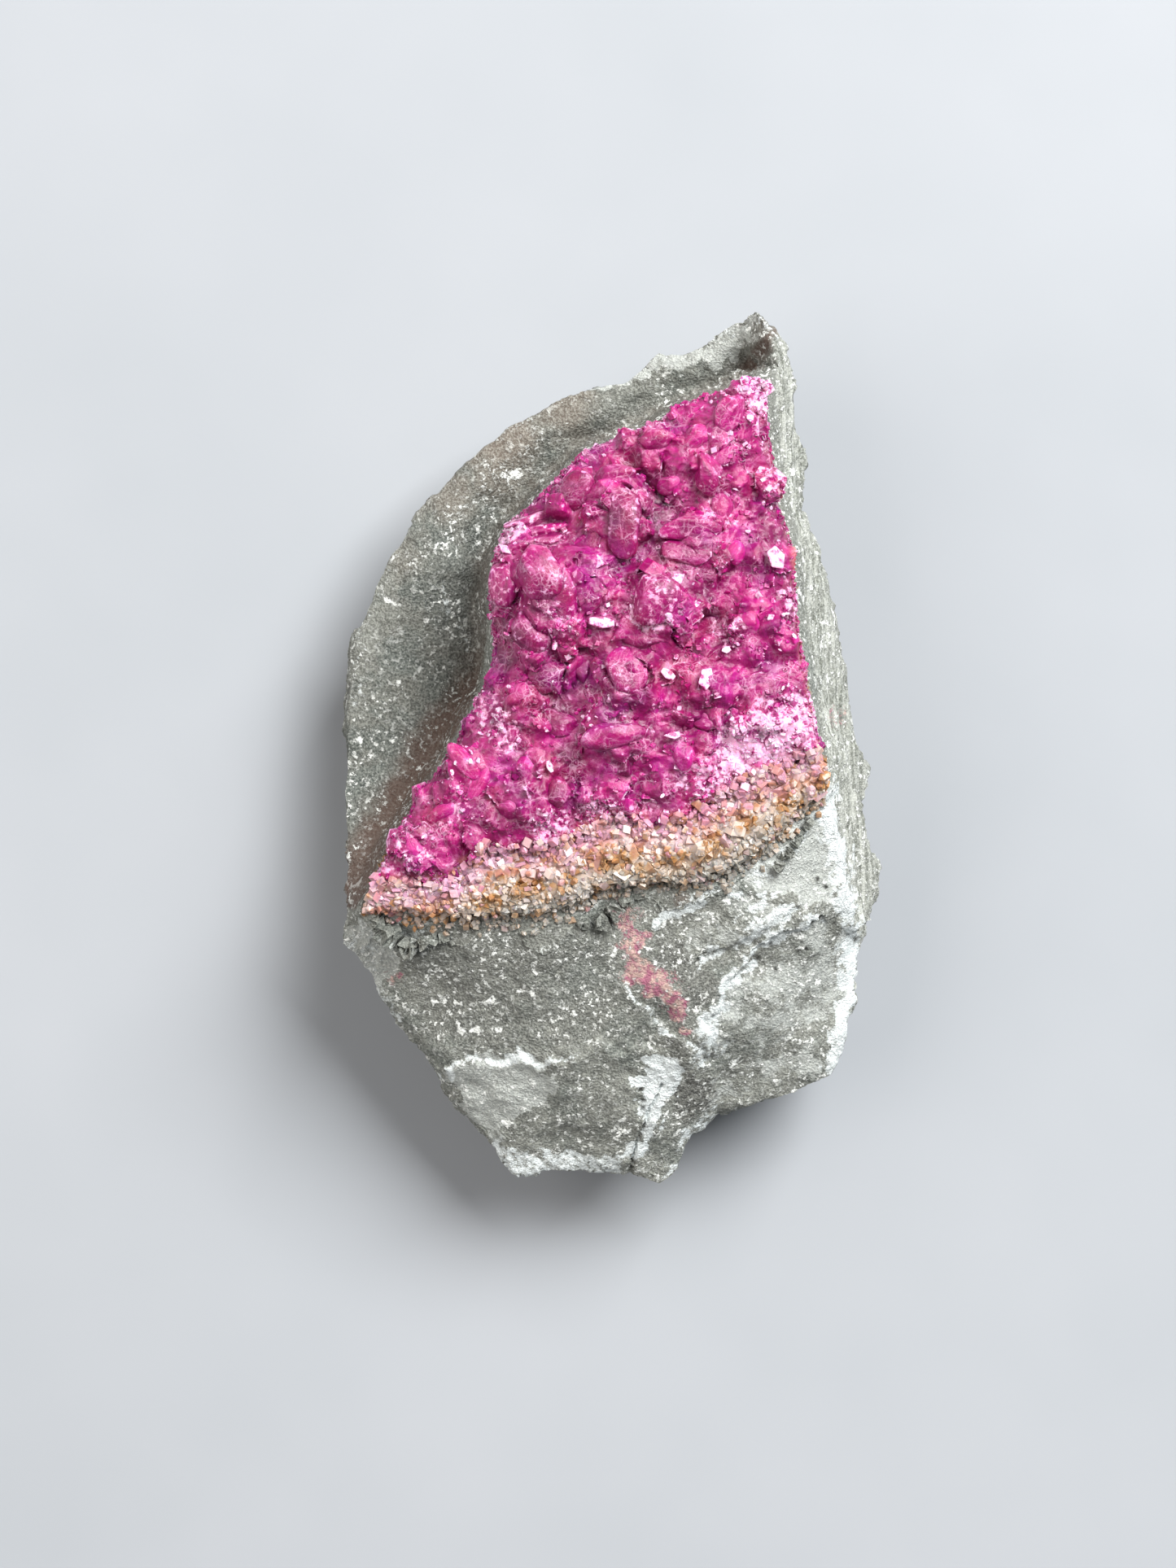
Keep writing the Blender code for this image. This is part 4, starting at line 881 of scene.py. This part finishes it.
class SPECIMEN_OT_rock(bpy.types.Operator):
    """Breaks the plain rock's skin into chips, flakes and sugary grain, and finishes it as dolomite"""

    bl_idname = "specimen.rock"
    bl_label = "Dolomite Rock"

    def execute(self, context):
        look = context.scene.specimen_rock
        rock = merged_copy("host_rock", "dolomite_rock")
        mesh = rock.data
        crust = skin_of("calcite_crust", "stained_band")
        self.set_fineness(mesh, crust, look)
        refine(rock, 3.0)
        soften(rock, self.loose(mesh), 3)
        refine(rock, 1.0)
        soften(rock, self.loose(mesh), 3)
        self.add_relief(rock, crust, look)
        self.add_masks(mesh, crust)
        alone(rock)
        bpy.ops.object.shade_smooth_by_angle(angle=math.radians(60))
        mesh.attributes.remove(mesh.attributes["wanted"])
        rock.vertex_groups.clear()
        finish_piece(rock, broken_dolomite(look), "host_rock")
        return {"FINISHED"}

    def set_fineness(self, mesh, crust, look):
        """Fine on the face, coarser on the sides and back, coarse where it is flat or hidden."""
        wanted = mesh.attributes.new("wanted", "FLOAT", "POINT")
        for vert in mesh.vertices:
            point = vert.co
            hidden = crust.ray_cast(point + Vector((0, 0, 0.01 * MM)), Vector((0, 0, 1)), 0.6 * MM)[0] is not None
            edge = crust.find_nearest(point)[3]
            if point.z < 0.02 * MM or (hidden and edge > 0.2 * MM and vert.normal.z > 0.9):
                length = 3.0 * MM
            elif vert.normal.z > 0.35:
                length = look.fine_edge
            elif vert.normal.z > -0.15:
                length = 1.22 * look.fine_edge
            else:
                length = look.coarse_edge
            wanted.data[vert.index].value = length

    def loose(self, mesh):
        """Where the skin may be rounded: everywhere but at its foot and at the thin rim's tips."""
        places = places_of(mesh)
        return np.clip(places[:, 2] / 0.8, 0.0, 1.0) * np.where(np.abs(places[:, 1]) > 34.5, 0.5, 1.0)

    def add_relief(self, rock, crust, look):
        mesh = rock.data
        places = places_of(mesh)
        wanted = np.empty(len(places))
        mesh.attributes["wanted"].data.foreach_get("value", wanted)
        loose = smooth(0.05, 1.2, places[:, 2]) * smooth(2.0, 1.0, wanted / MM)
        group = rock.vertex_groups.new(name="broken")
        for i, weight in enumerate(loose):
            group.add([i], float(weight), "REPLACE")
        chip_away(rock, "CLOUDS", 3.2 * MM, look.chip_height * 1.1, "broken", noise_depth=2)
        chip_away(rock, "VORONOI", 1.7 * MM, look.chip_height * 0.55, "broken", weight_1=-1.0, weight_2=1.0)
        chip_away(rock, "CLOUDS", 0.75 * MM, look.chip_height * 0.45, "broken", noise_depth=3)
        chip_away(rock, "STUCCI", 0.28 * MM, look.grain_height, "broken", turbulence=4.0)
        places = places_of(mesh)
        crumbly = loose * np.maximum(from_patches(places, PALE_PLATES[2:5]), from_patches(places, POWDERED))
        group = rock.vertex_groups.new(name="crumbly")
        for i in np.flatnonzero(crumbly > 0.01):
            group.add([int(i)], float(crumbly[i]), "REPLACE")
        chip_away(rock, "VORONOI", 1.1 * MM, look.chip_height * 0.6, "crumbly", weight_1=-1.0, weight_2=1.0)
        chip_away(rock, "CLOUDS", 0.45 * MM, look.chip_height * 0.5, "crumbly", noise_depth=2)
        places, normals = places_of(mesh), normals_of(mesh)
        front = smooth(0.1, 0.5, normals[:, 2])
        heights = np.zeros(len(places))
        strayed = wandering(places)
        for height, reach, line in LIPS:
            gap, left = from_line(strayed, line)
            step = smooth(0.0, 0.22, np.abs(gap)) * np.clip(1.0 - gap / reach, 0.0, 1.0)
            heights += height * np.where(left, 0.5, -0.5) * step * front
        gap, _ = from_line(places, FOOT_OF_SEAM)
        heights += 0.40 * smooth(1.7, 0.1, gap + 0.8 * (mottle(places, 1.1, seed=41.0) - 0.5)) * front
        gap, _ = from_line(places, CRACK)
        heights -= 0.55 * np.clip(1.0 - gap / 0.22, 0.0, 1.0) * front
        # The break goes in small ledges: deep on the sides and back, shallow on the face.
        level = 8.0 * mottle(places, 5.5, seed=21.0) + 2.0 * (mottle(places, 1.6, seed=22.0) - 0.5)
        ledges = np.floor(level) + smooth(0.72, 1.0, level - np.floor(level)) - 4.0
        outward = smooth(0.35, -0.15, normals[:, 2])
        heights += (0.10 + 0.28 * outward) * ledges
        side = self.side_of(places)
        ribs = mottle(places, 0.9, seed=8.0, stretch=(1.0, 0.10, 1.0)) - 0.5
        ribs += 0.5 * (mottle(places, 0.42, seed=5.0, stretch=(1.0, 0.10, 1.0)) - 0.5)
        heights += 0.85 * ribs * side
        lift(mesh, heights * loose, normals)
        places = places_of(mesh)
        places[:, 2] = np.maximum(places[:, 2], 0.0)
        mesh.vertices.foreach_set("co", (places * MM).ravel())
        mesh.update()

    def side_of(self, places):
        """How far a place is on the striated right-hand side."""
        edge = np.interp(places[:, 1], [p[1] for p in SIDE_EDGE], [p[0] for p in SIDE_EDGE])
        ragged = 0.8 * (mottle(places, 2.5, seed=17.0) - 0.5)
        return smooth(-0.1, 0.5, places[:, 0] - edge + ragged) * smooth(-29.5, -22.0, places[:, 1] + 6.0 * ragged)

    def add_masks(self, mesh, crust):
        """Where the rock is stained, powdered, crushed or veined."""
        places, normals = places_of(mesh), normals_of(mesh)
        up = smooth(-0.1, 0.3, normals[:, 2])
        side = self.side_of(places)
        edge = np.interp(places[:, 1], [p[1] for p in HOLLOW_EDGE], [p[0] for p in HOLLOW_EDGE])
        beside, _ = from_line(places, HOLLOW_EDGE)
        hollow = smooth(0.0, 0.6, edge - places[:, 0]) * (places[:, 1] > -12.8) * (places[:, 2] < 17.5)
        near = np.array([crust.find_nearest(Vector(p) * MM)[3] for p in places]) / MM
        patch = mottle(places, 1.3, seed=2.0)
        rust = smooth(1.2, 0.1, near)
        low = smooth(9.0, 1.0, places[:, 1])
        bent = places + 1.1 * (mottle(places, 1.4, seed=15.0) - 0.5)[:, None] + 0.8 * (patch - 0.5)[:, None]
        # Painted shade, in brown, on the hollow's floor and wall close beside the crystals, strongest low down; it
        # joins the brown stain spots in the brown mask.
        wall_shade = hollow * smooth(2.4 + 2.2 * low, 0.5, beside + 1.2 * (patch - 0.5)) * (0.35 + 1.5 * low)
        # Painted shade on the hollow's floor beside the crystals, which stand about 10 mm above it, fading towards the
        # top.
        shade = hollow * smooth(7.0, 1.0, beside + 3.0 * (patch - 0.5)) * smooth(22.0, 12.0, places[:, 1])
        brown = np.maximum(from_spots(bent, BROWN), np.clip(wall_shade, 0.0, 1.0))
        rim, _ = from_line(places, RIM)
        # Painted shade in the hollow: full deep in the recess, fading within 3 mm of the rim and towards the tip on the
        # right.
        recess_shade = (0.35 + 0.65 * smooth(0.3, 3.2, rim)) * (1.0 - 0.65 * smooth(-5.0, 3.0, places[:, 0]))
        powder = from_patches(places, POWDERED)
        strayed = wandering(places)
        for width, strength, line in POWDER:
            gap, _ = from_line(strayed, line)
            ragged = mottle(places, 0.7, seed=width * 9) + mottle(places, 2.4, seed=strength * 5)
            gap += width * 1.5 * (ragged - 1.0)
            powder = np.maximum(powder, strength * smooth(width * 1.8, 0.0, gap))
        # The crack line is painted dark as well as pressed in: painted shade in the crease.
        crack, _ = from_line(places, CRACK)
        speck = np.zeros(len(places))
        for x, y in SPECKS:
            speck = np.maximum(speck, smooth(0.26, 0.12, np.hypot(places[:, 0] - x, places[:, 1] - y)))
        sharp = sharpness(mesh)
        # The hollow mask carries the greener weathering and painted shade, darker deep in the recess.
        paint(mesh, "hollow", hollow * 0.95 * recess_shade)
        paint(mesh, "side", side * smooth(2.0, 14.0, places[:, 2] + 3.0 * (patch - 0.5)))
        bare = hollow * smooth(0.62, 0.44, mottle(places, 3.0, seed=43.0))
        paint(mesh, "fresh", smooth(-0.3, 0.35, normals[:, 2]) * (1.0 - 0.85 * bare))
        paint(mesh, "rust", rust * (0.75 + 0.4 * side) * (1.0 - 0.5 * hollow))
        # The brown mask is part stain, part painted shade beside the crystals.
        paint(mesh, "brown", brown * up)
        paint(mesh, "warm", from_spots(bent, WARM) * up)
        paint(mesh, "powder", powder * up)
        paint(mesh, "vein", from_spots(bent, VEIN) * up)
        # The dark mask holds the rock's own dark patches, and painted shade in the hollow beside the crystals and along
        # the crack.
        dark = np.maximum(from_patches(places, DARK_PLATES), 0.75 * shade)
        paint(mesh, "dark", np.maximum(dark, smooth(0.24, 0.10, crack)) * up)
        paint(mesh, "light", from_patches(places, PALE_PLATES) * up)
        paint(mesh, "speck", speck * up)
        crumbly = from_patches(places, PALE_PLATES[2:5] + POWDERED)
        paint(mesh, "edge", smooth(0.010, 0.05, sharp) * (0.35 + 0.35 * patch + 0.6 * crumbly))


class SPECIMEN_OT_crystals(bpy.types.Operator):
    """Grows the magenta crystals, large and small, over the plain crust"""

    bl_idname = "specimen.crystals"
    bl_label = "Calcite Crystals"

    def execute(self, context):
        look = context.scene.specimen_crystals
        crust = merged_copy("calcite_crust", "cobaltoan_calcite_crust")
        mesh = crust.data
        wanted = mesh.attributes.new("wanted", "FLOAT", "POINT")
        lengths = np.where(normals_of(mesh)[:, 2] > -0.4, look.skin_edge, 3.0 * MM)
        wanted.data.foreach_set("value", lengths.astype(np.float32))
        refine(crust, 1.0)
        outer = smooth(-0.5, 0.1, normals_of(mesh)[:, 2])
        places = places_of(mesh)
        above = places[:, 2] - 18.5 - 0.081 * places[:, 0] + 0.049 * places[:, 1]
        soften(crust, outer * (0.2 + 0.8 * smooth(0.2, 1.4, above)), 26)
        group = crust.vertex_groups.new(name="grown")
        for i, weight in enumerate(outer):
            group.add([i], float(weight), "REPLACE")
        chip_away(crust, "VORONOI", 1.7 * MM, 0.40 * MM, "grown", weight_1=-1.0, weight_2=1.0)
        chip_away(crust, "VORONOI", 0.8 * MM, 0.20 * MM, "grown", distance_metric="MANHATTAN")
        mesh.attributes.remove(mesh.attributes["wanted"])
        crust.vertex_groups.clear()
        self.tint(crust)
        sink_foot(mesh)
        start = ball()
        lenses = self.lenses(crust, start)
        rhombs = [rhomb(0.45, 0.06), rhomb(0.62, 0.06)]
        plain = [rhomb(0.45), rhomb(0.7), rhomb(0.95), dog_tooth(1.6, 0.7)]
        leaves = [leaf(6, 0.72), leaf(5, 0.85), leaf(4, 0.9)]
        middle = grow(
            [s for s in seats(crust, look.middle_count, 2.4 * MM, seed=21) if not self.under_lens(s[0], 0.7)],
            rhombs * 2 + leaves, look.middle_size, 0.45, 0.30, crystal_masks, seed=22,
        )
        fine = grow(
            self.sugared(seats(crust, look.fine_count * 3, 1.6 * MM, seed=23))[: look.fine_count],
            plain, look.fine_size, 0.2, 0.6, crystal_masks, seed=24,
        )
        grown_over = grown("magenta_crystals", middle + fine + self.flashes(crust, leaves))
        rounded = grown("lenses", lenses)
        alone(rounded)
        bpy.ops.object.shade_smooth_by_angle(angle=math.radians(60))
        paint(rounded.data, "edge", 0.5 * smooth(0.010, 0.035, sharpness(rounded.data)))
        alone(crust)
        bpy.ops.object.shade_smooth_by_angle(angle=math.radians(45))
        material = cobaltoan_calcite(look)
        for piece in (crust, join([grown_over, rounded])):
            finish_piece(piece, material, "calcite_crust")
        return {"FINISHED"}

    def sugared(self, places):
        """Keeps the seats where fine crystals crowd: frosted parts, valleys and the edge along the seam."""
        rng = random.Random(25)
        seam = skin_of("stained_band")
        found = []
        for seat in places:
            point, _, depth = seat
            near = seam.find_nearest(point)[3]
            chance = 0.14 + 0.8 * spot_value(point, FROSTED) + 0.5 * (depth > 0.25 * MM) + 0.8 * (near < 1.0 * MM)
            if rng.random() < chance and not self.under_lens(point, 0.8):
                found.append(seat)
        return found

    def under_lens(self, point, share):
        """Whether a point lies under one of the largest crystals, within a share of its size."""
        x, y = point.x / MM, point.y / MM
        for cx, cy, long, wide, _, turn, *_ in LENSES:
            c, s = math.cos(math.radians(turn)), math.sin(math.radians(turn))
            u, v = (x - cx) * c + (y - cy) * s, (y - cy) * c - (x - cx) * s
            if (u / long) ** 2 + (v / wide) ** 2 < share * share:
                return True
        return False

    def lenses(self, crust, start):
        """The largest crystals, each on the crust's skin at its own place."""
        mesh = crust.data
        skin = BVHTree.FromPolygons([v.co for v in mesh.vertices], [p.vertices for p in mesh.polygons])
        found = []
        for k, (x, y, long, wide, thick, turn, right, up, tone, frost) in enumerate(LENSES):
            seat = skin.ray_cast(Vector((x, y, 60.0)) * MM, Vector((0, 0, -1)))[0]
            if seat is None:
                seat = skin.find_nearest(Vector((x, y, 22.0)) * MM)[0]
            lean = Matrix.Rotation(math.radians(right), 4, "Y") @ Matrix.Rotation(math.radians(up), 4, "X")
            size = Matrix.Diagonal((long * MM, wide * MM, thick * MM, 1.0))
            matrix = Matrix.Translation(seat - Vector((0, 0, 0.42 * thick * MM))) @ lean
            matrix = matrix @ Matrix.Rotation(math.radians(turn), 4, "Z") @ size
            masks = {"tone": tone, "frost": 0.45 * frost, "rust": 0.0, "glint": 0.2, "edge": 0.0}
            found.append((lens(start, 100 + k), matrix, masks))
        return found

    def flashes(self, crust, leaves):
        """Flat cleavage faces turned so that the window glances off them towards the viewer."""
        mesh = crust.data
        skin = BVHTree.FromPolygons([v.co for v in mesh.vertices], [p.vertices for p in mesh.polygons])
        rng = random.Random(26)
        small = [(p.x / MM, p.y / MM, rng.uniform(0.10, 0.24), rng.uniform(1.0, 2.4))
                 for p, _, _ in seats(crust, 90, 0.5 * MM, seed=27)]
        found = []
        for k, (x, y, long, ratio) in enumerate(FLASHES + small):
            proud = Vector((0, 0, min(0.50, 0.7 * long) * MM))
            point = skin.find_nearest(Vector((x, y, 23.0)) * MM)[0] + proud
            facing = ((WINDOW - point).normalized() + (CAMERA - point).normalized()).normalized()
            turn = facing.to_track_quat("Z", "Y").to_matrix().to_4x4()
            spin = Matrix.Rotation(0.7 + 1.9 * k, 4, "Z")
            size = Matrix.Diagonal((long * 1.25 * MM, long * 1.25 * MM / ratio, long * MM, 1.0))
            matrix = Matrix.Translation(point) @ turn @ spin @ size
            # The plates are coloured pale and frosted as well: a painted highlight on top of the real reflection.
            found.append((leaves[k % 3], matrix, {"tone": 0.8, "frost": 0.6, "rust": 0.0, "glint": 1.0, "edge": 0.0}))
        return found

    def tint(self, crust):
        """Masks of the skin between and under the separate crystals."""
        mesh = crust.data
        places = places_of(mesh)
        deep = from_spots(places, DEEP)
        # Sunken skin between the crystals is given a lower, darker tone below: painted shade.
        valley = np.clip(sunken(places, 1.2) / 0.8, 0.0, 1.0)
        seam = skin_of("stained_band")
        near = np.array([seam.find_nearest(Vector(p) * MM)[3] for p in places]) / MM
        patch = mottle(places, 2.2, seed=4.0)
        layer = np.full(len(places), 0.5)
        best = np.full(len(places), 1.2)
        for x, y, radius, turn in DOMES:
            c, s = math.cos(math.radians(turn)), math.sin(math.radians(turn))
            dx, dy = places[:, 0] - x, places[:, 1] - y
            nearness = np.hypot(dx, dy) / radius
            here = nearness < best
            across = dx * c + dy * s + 0.10 * (dy * c - dx * s) ** 2
            layer[here] = (0.5 + across / 10.0)[here]
            best[here] = nearness[here]
        paint(mesh, "layer", layer)
        # Tone is lowered in valleys between the crystals: painted shade, on top of the deep and patchy colour.
        paint(mesh, "tone", 0.2 + 0.75 * patch - 0.35 * deep - 0.45 * valley)
        frost = np.maximum(from_spots(places, FROSTED), 0.45 * smooth(2.6, 0.4, near))
        paint(mesh, "frost", frost * mottle(places, 1.4, seed=6.0) * 1.3 * (1 - 0.5 * deep))
        border, _ = from_line(places, SIDE_EDGE)
        rust = np.maximum(smooth(1.6, 0.2, near), 0.9 * smooth(1.3, 0.4, border))
        paint(mesh, "rust", 0.8 * rust * mottle(places, 1.1, seed=9.0))
        paint(mesh, "glint", 0.1 * np.ones(len(places)))
        paint(mesh, "edge", smooth(0.020, 0.07, sharpness(mesh)))


class SPECIMEN_OT_seam(bpy.types.Operator):
    """Covers the stained band with sugary grains of calcite"""

    bl_idname = "specimen.seam"
    bl_label = "Iron-Stained Seam"

    def execute(self, context):
        look = context.scene.specimen_seam
        seam = merged_copy("stained_band", "iron_stained_seam")
        shapes = [rhomb(0.6), rhomb(0.85), dog_tooth(1.4, 0.8)]
        grains = grow(
            seats(seam, look.grain_count, 1.0 * MM, seed=31), shapes, look.grain_size, 0.15, 0.7, seam_masks, seed=32
        )
        large = seats(seam, 150, 1.0 * MM, seed=35)
        grains += grow(large, shapes, 1.9 * look.grain_size, 0.45, 0.6, seam_masks, seed=36)
        crystals = skin_of("stained_band", "calcite_crust")
        rock = skin_of("stained_band", "host_rock")
        grains += self.along(LINE_OF_SEAM, crystals, shapes, look.grain_size, 0.07, 0.40)
        grains += self.along(FOOT_OF_SEAM, rock, shapes, 0.75 * look.grain_size, 0.05, 0.68)
        mesh = seam.data
        places = places_of(mesh)
        down, _ = from_line(places, LINE_OF_SEAM)
        patch = mottle(places, 1.5, seed=14.0)
        sink_foot(mesh)
        paint(mesh, "tone", 0.10 + 0.7 * mottle(places, 1.0, seed=7.0))
        paint(mesh, "frost", np.clip(1.5 * smooth(2.8, 0.4, down) * patch, 0.0, 0.8))
        paint(mesh, "grey", np.clip(1.4 * smooth(2.6, 4.4, down) * patch, 0.0, 0.8))
        join([seam, grown("grains", grains)])
        alone(seam)
        bpy.ops.object.shade_flat()
        finish_piece(seam, iron_stained_calcite(look), "stained_band")
        return {"FINISHED"}


    def along(self, line, skin, shapes, size, spacing, spread):
        """Grains scattered along a line, which hide where two solids meet."""
        rng = random.Random(33)
        found = []
        for (ax, ay), (bx, by) in zip(line, line[1:]):
            for _ in range(int(math.hypot(bx - ax, by - ay) / spacing)):
                share = rng.random()
                x, y = ax + (bx - ax) * share, ay + (by - ay) * share + rng.gauss(-0.25, spread)
                heights = []
                for step in (-0.4, 0.0, 0.4):
                    hit = skin.ray_cast(Vector((x, y + step, 60.0)) * MM, Vector((0, 0, -1)))[0]
                    heights += [hit.z] if hit is not None else []
                if heights:
                    level = min(heights) + (max(heights) - min(heights)) * rng.uniform(0.1, 0.9)
                    found.append((Vector((x * MM, y * MM, level)), Vector((0, -0.29, 0.96)), 0.0))
        return grow(found, shapes, size, 0.1, 0.7, seam_masks, seed=34)


class SPECIMEN_OT_stage(bpy.types.Operator):
    """Lays the pale floor, hangs the soft lights and sets the camera"""

    bl_idname = "specimen.stage"
    bl_label = "Stage, Lights and Camera"

    def execute(self, context):
        look = context.scene.specimen_stage
        bpy.ops.object.select_all(action="DESELECT")
        bpy.ops.mesh.primitive_plane_add(size=3.0, location=(0, 0, -0.02 * MM))
        floor = context.object
        floor.name = "floor"
        bpy.ops.object.transform_apply(location=True)
        floor.data.materials.append(matt_card(look))
        self.light("window", WINDOW, 0.46, look.window_power, "#FFFFFF")
        self.light("fill", Vector((-560, 60, 520)) * MM, 0.70, look.fill_power, "#FFF8F2")
        world = bpy.data.worlds.new("soft_room")
        world.use_nodes = True
        world.node_tree.nodes["Background"].inputs["Color"].default_value = linear("#EEF1F5")
        world.node_tree.nodes["Background"].inputs["Strength"].default_value = 0.27
        context.scene.world = world
        bpy.ops.object.camera_add(location=CAMERA, rotation=(0, 0, 0))
        camera = context.object
        camera.name = "camera"
        camera.data.lens = 81.0
        camera.data.sensor_width = 36.0
        camera.data.clip_start = 0.01
        context.scene.camera = camera
        context.scene.view_settings.view_transform = "Standard"
        return {"FINISHED"}

    def light(self, name, place, size, power, hex_colour):
        """A square soft light, turned towards the stone."""
        turn = (Vector((0, 0, 15 * MM)) - place).to_track_quat("-Z", "Y").to_euler()
        bpy.ops.object.light_add(type="AREA", location=place, rotation=turn)
        lamp = bpy.context.object
        lamp.name = name
        lamp.data.size = size
        lamp.data.energy = power
        lamp.data.color = linear(hex_colour)[:3]


class SPECIMEN_PT_panel(bpy.types.Panel):
    bl_label = "Mineral Specimen"
    bl_idname = "SPECIMEN_PT_panel"
    bl_space_type = "VIEW_3D"
    bl_region_type = "UI"
    bl_category = "Specimen"

    def draw(self, context):
        scene = context.scene
        for operator, settings in (
            ("specimen.stage", scene.specimen_stage),
            ("specimen.rock", scene.specimen_rock),
            ("specimen.crystals", scene.specimen_crystals),
            ("specimen.seam", scene.specimen_seam),
        ):
            box = self.layout.box()
            box.operator(operator)
            for name in settings.__annotations__:
                box.prop(settings, name)


CLASSES = (
    RockSettings, CrystalSettings, SeamSettings, StageSettings,
    SPECIMEN_OT_stage, SPECIMEN_OT_rock, SPECIMEN_OT_crystals, SPECIMEN_OT_seam, SPECIMEN_PT_panel,
)


def register():
    for cls in CLASSES:
        bpy.utils.register_class(cls)
    bpy.types.Scene.specimen_rock = PointerProperty(type=RockSettings)
    bpy.types.Scene.specimen_crystals = PointerProperty(type=CrystalSettings)
    bpy.types.Scene.specimen_seam = PointerProperty(type=SeamSettings)
    bpy.types.Scene.specimen_stage = PointerProperty(type=StageSettings)


def unregister():
    del bpy.types.Scene.specimen_stage
    del bpy.types.Scene.specimen_seam
    del bpy.types.Scene.specimen_crystals
    del bpy.types.Scene.specimen_rock
    for cls in reversed(CLASSES):
        bpy.utils.unregister_class(cls)


def main():
    register()
    bpy.ops.specimen.stage()
    bpy.ops.specimen.rock()
    bpy.ops.specimen.crystals()
    bpy.ops.specimen.seam()


if __name__ == "__main__":
    main()
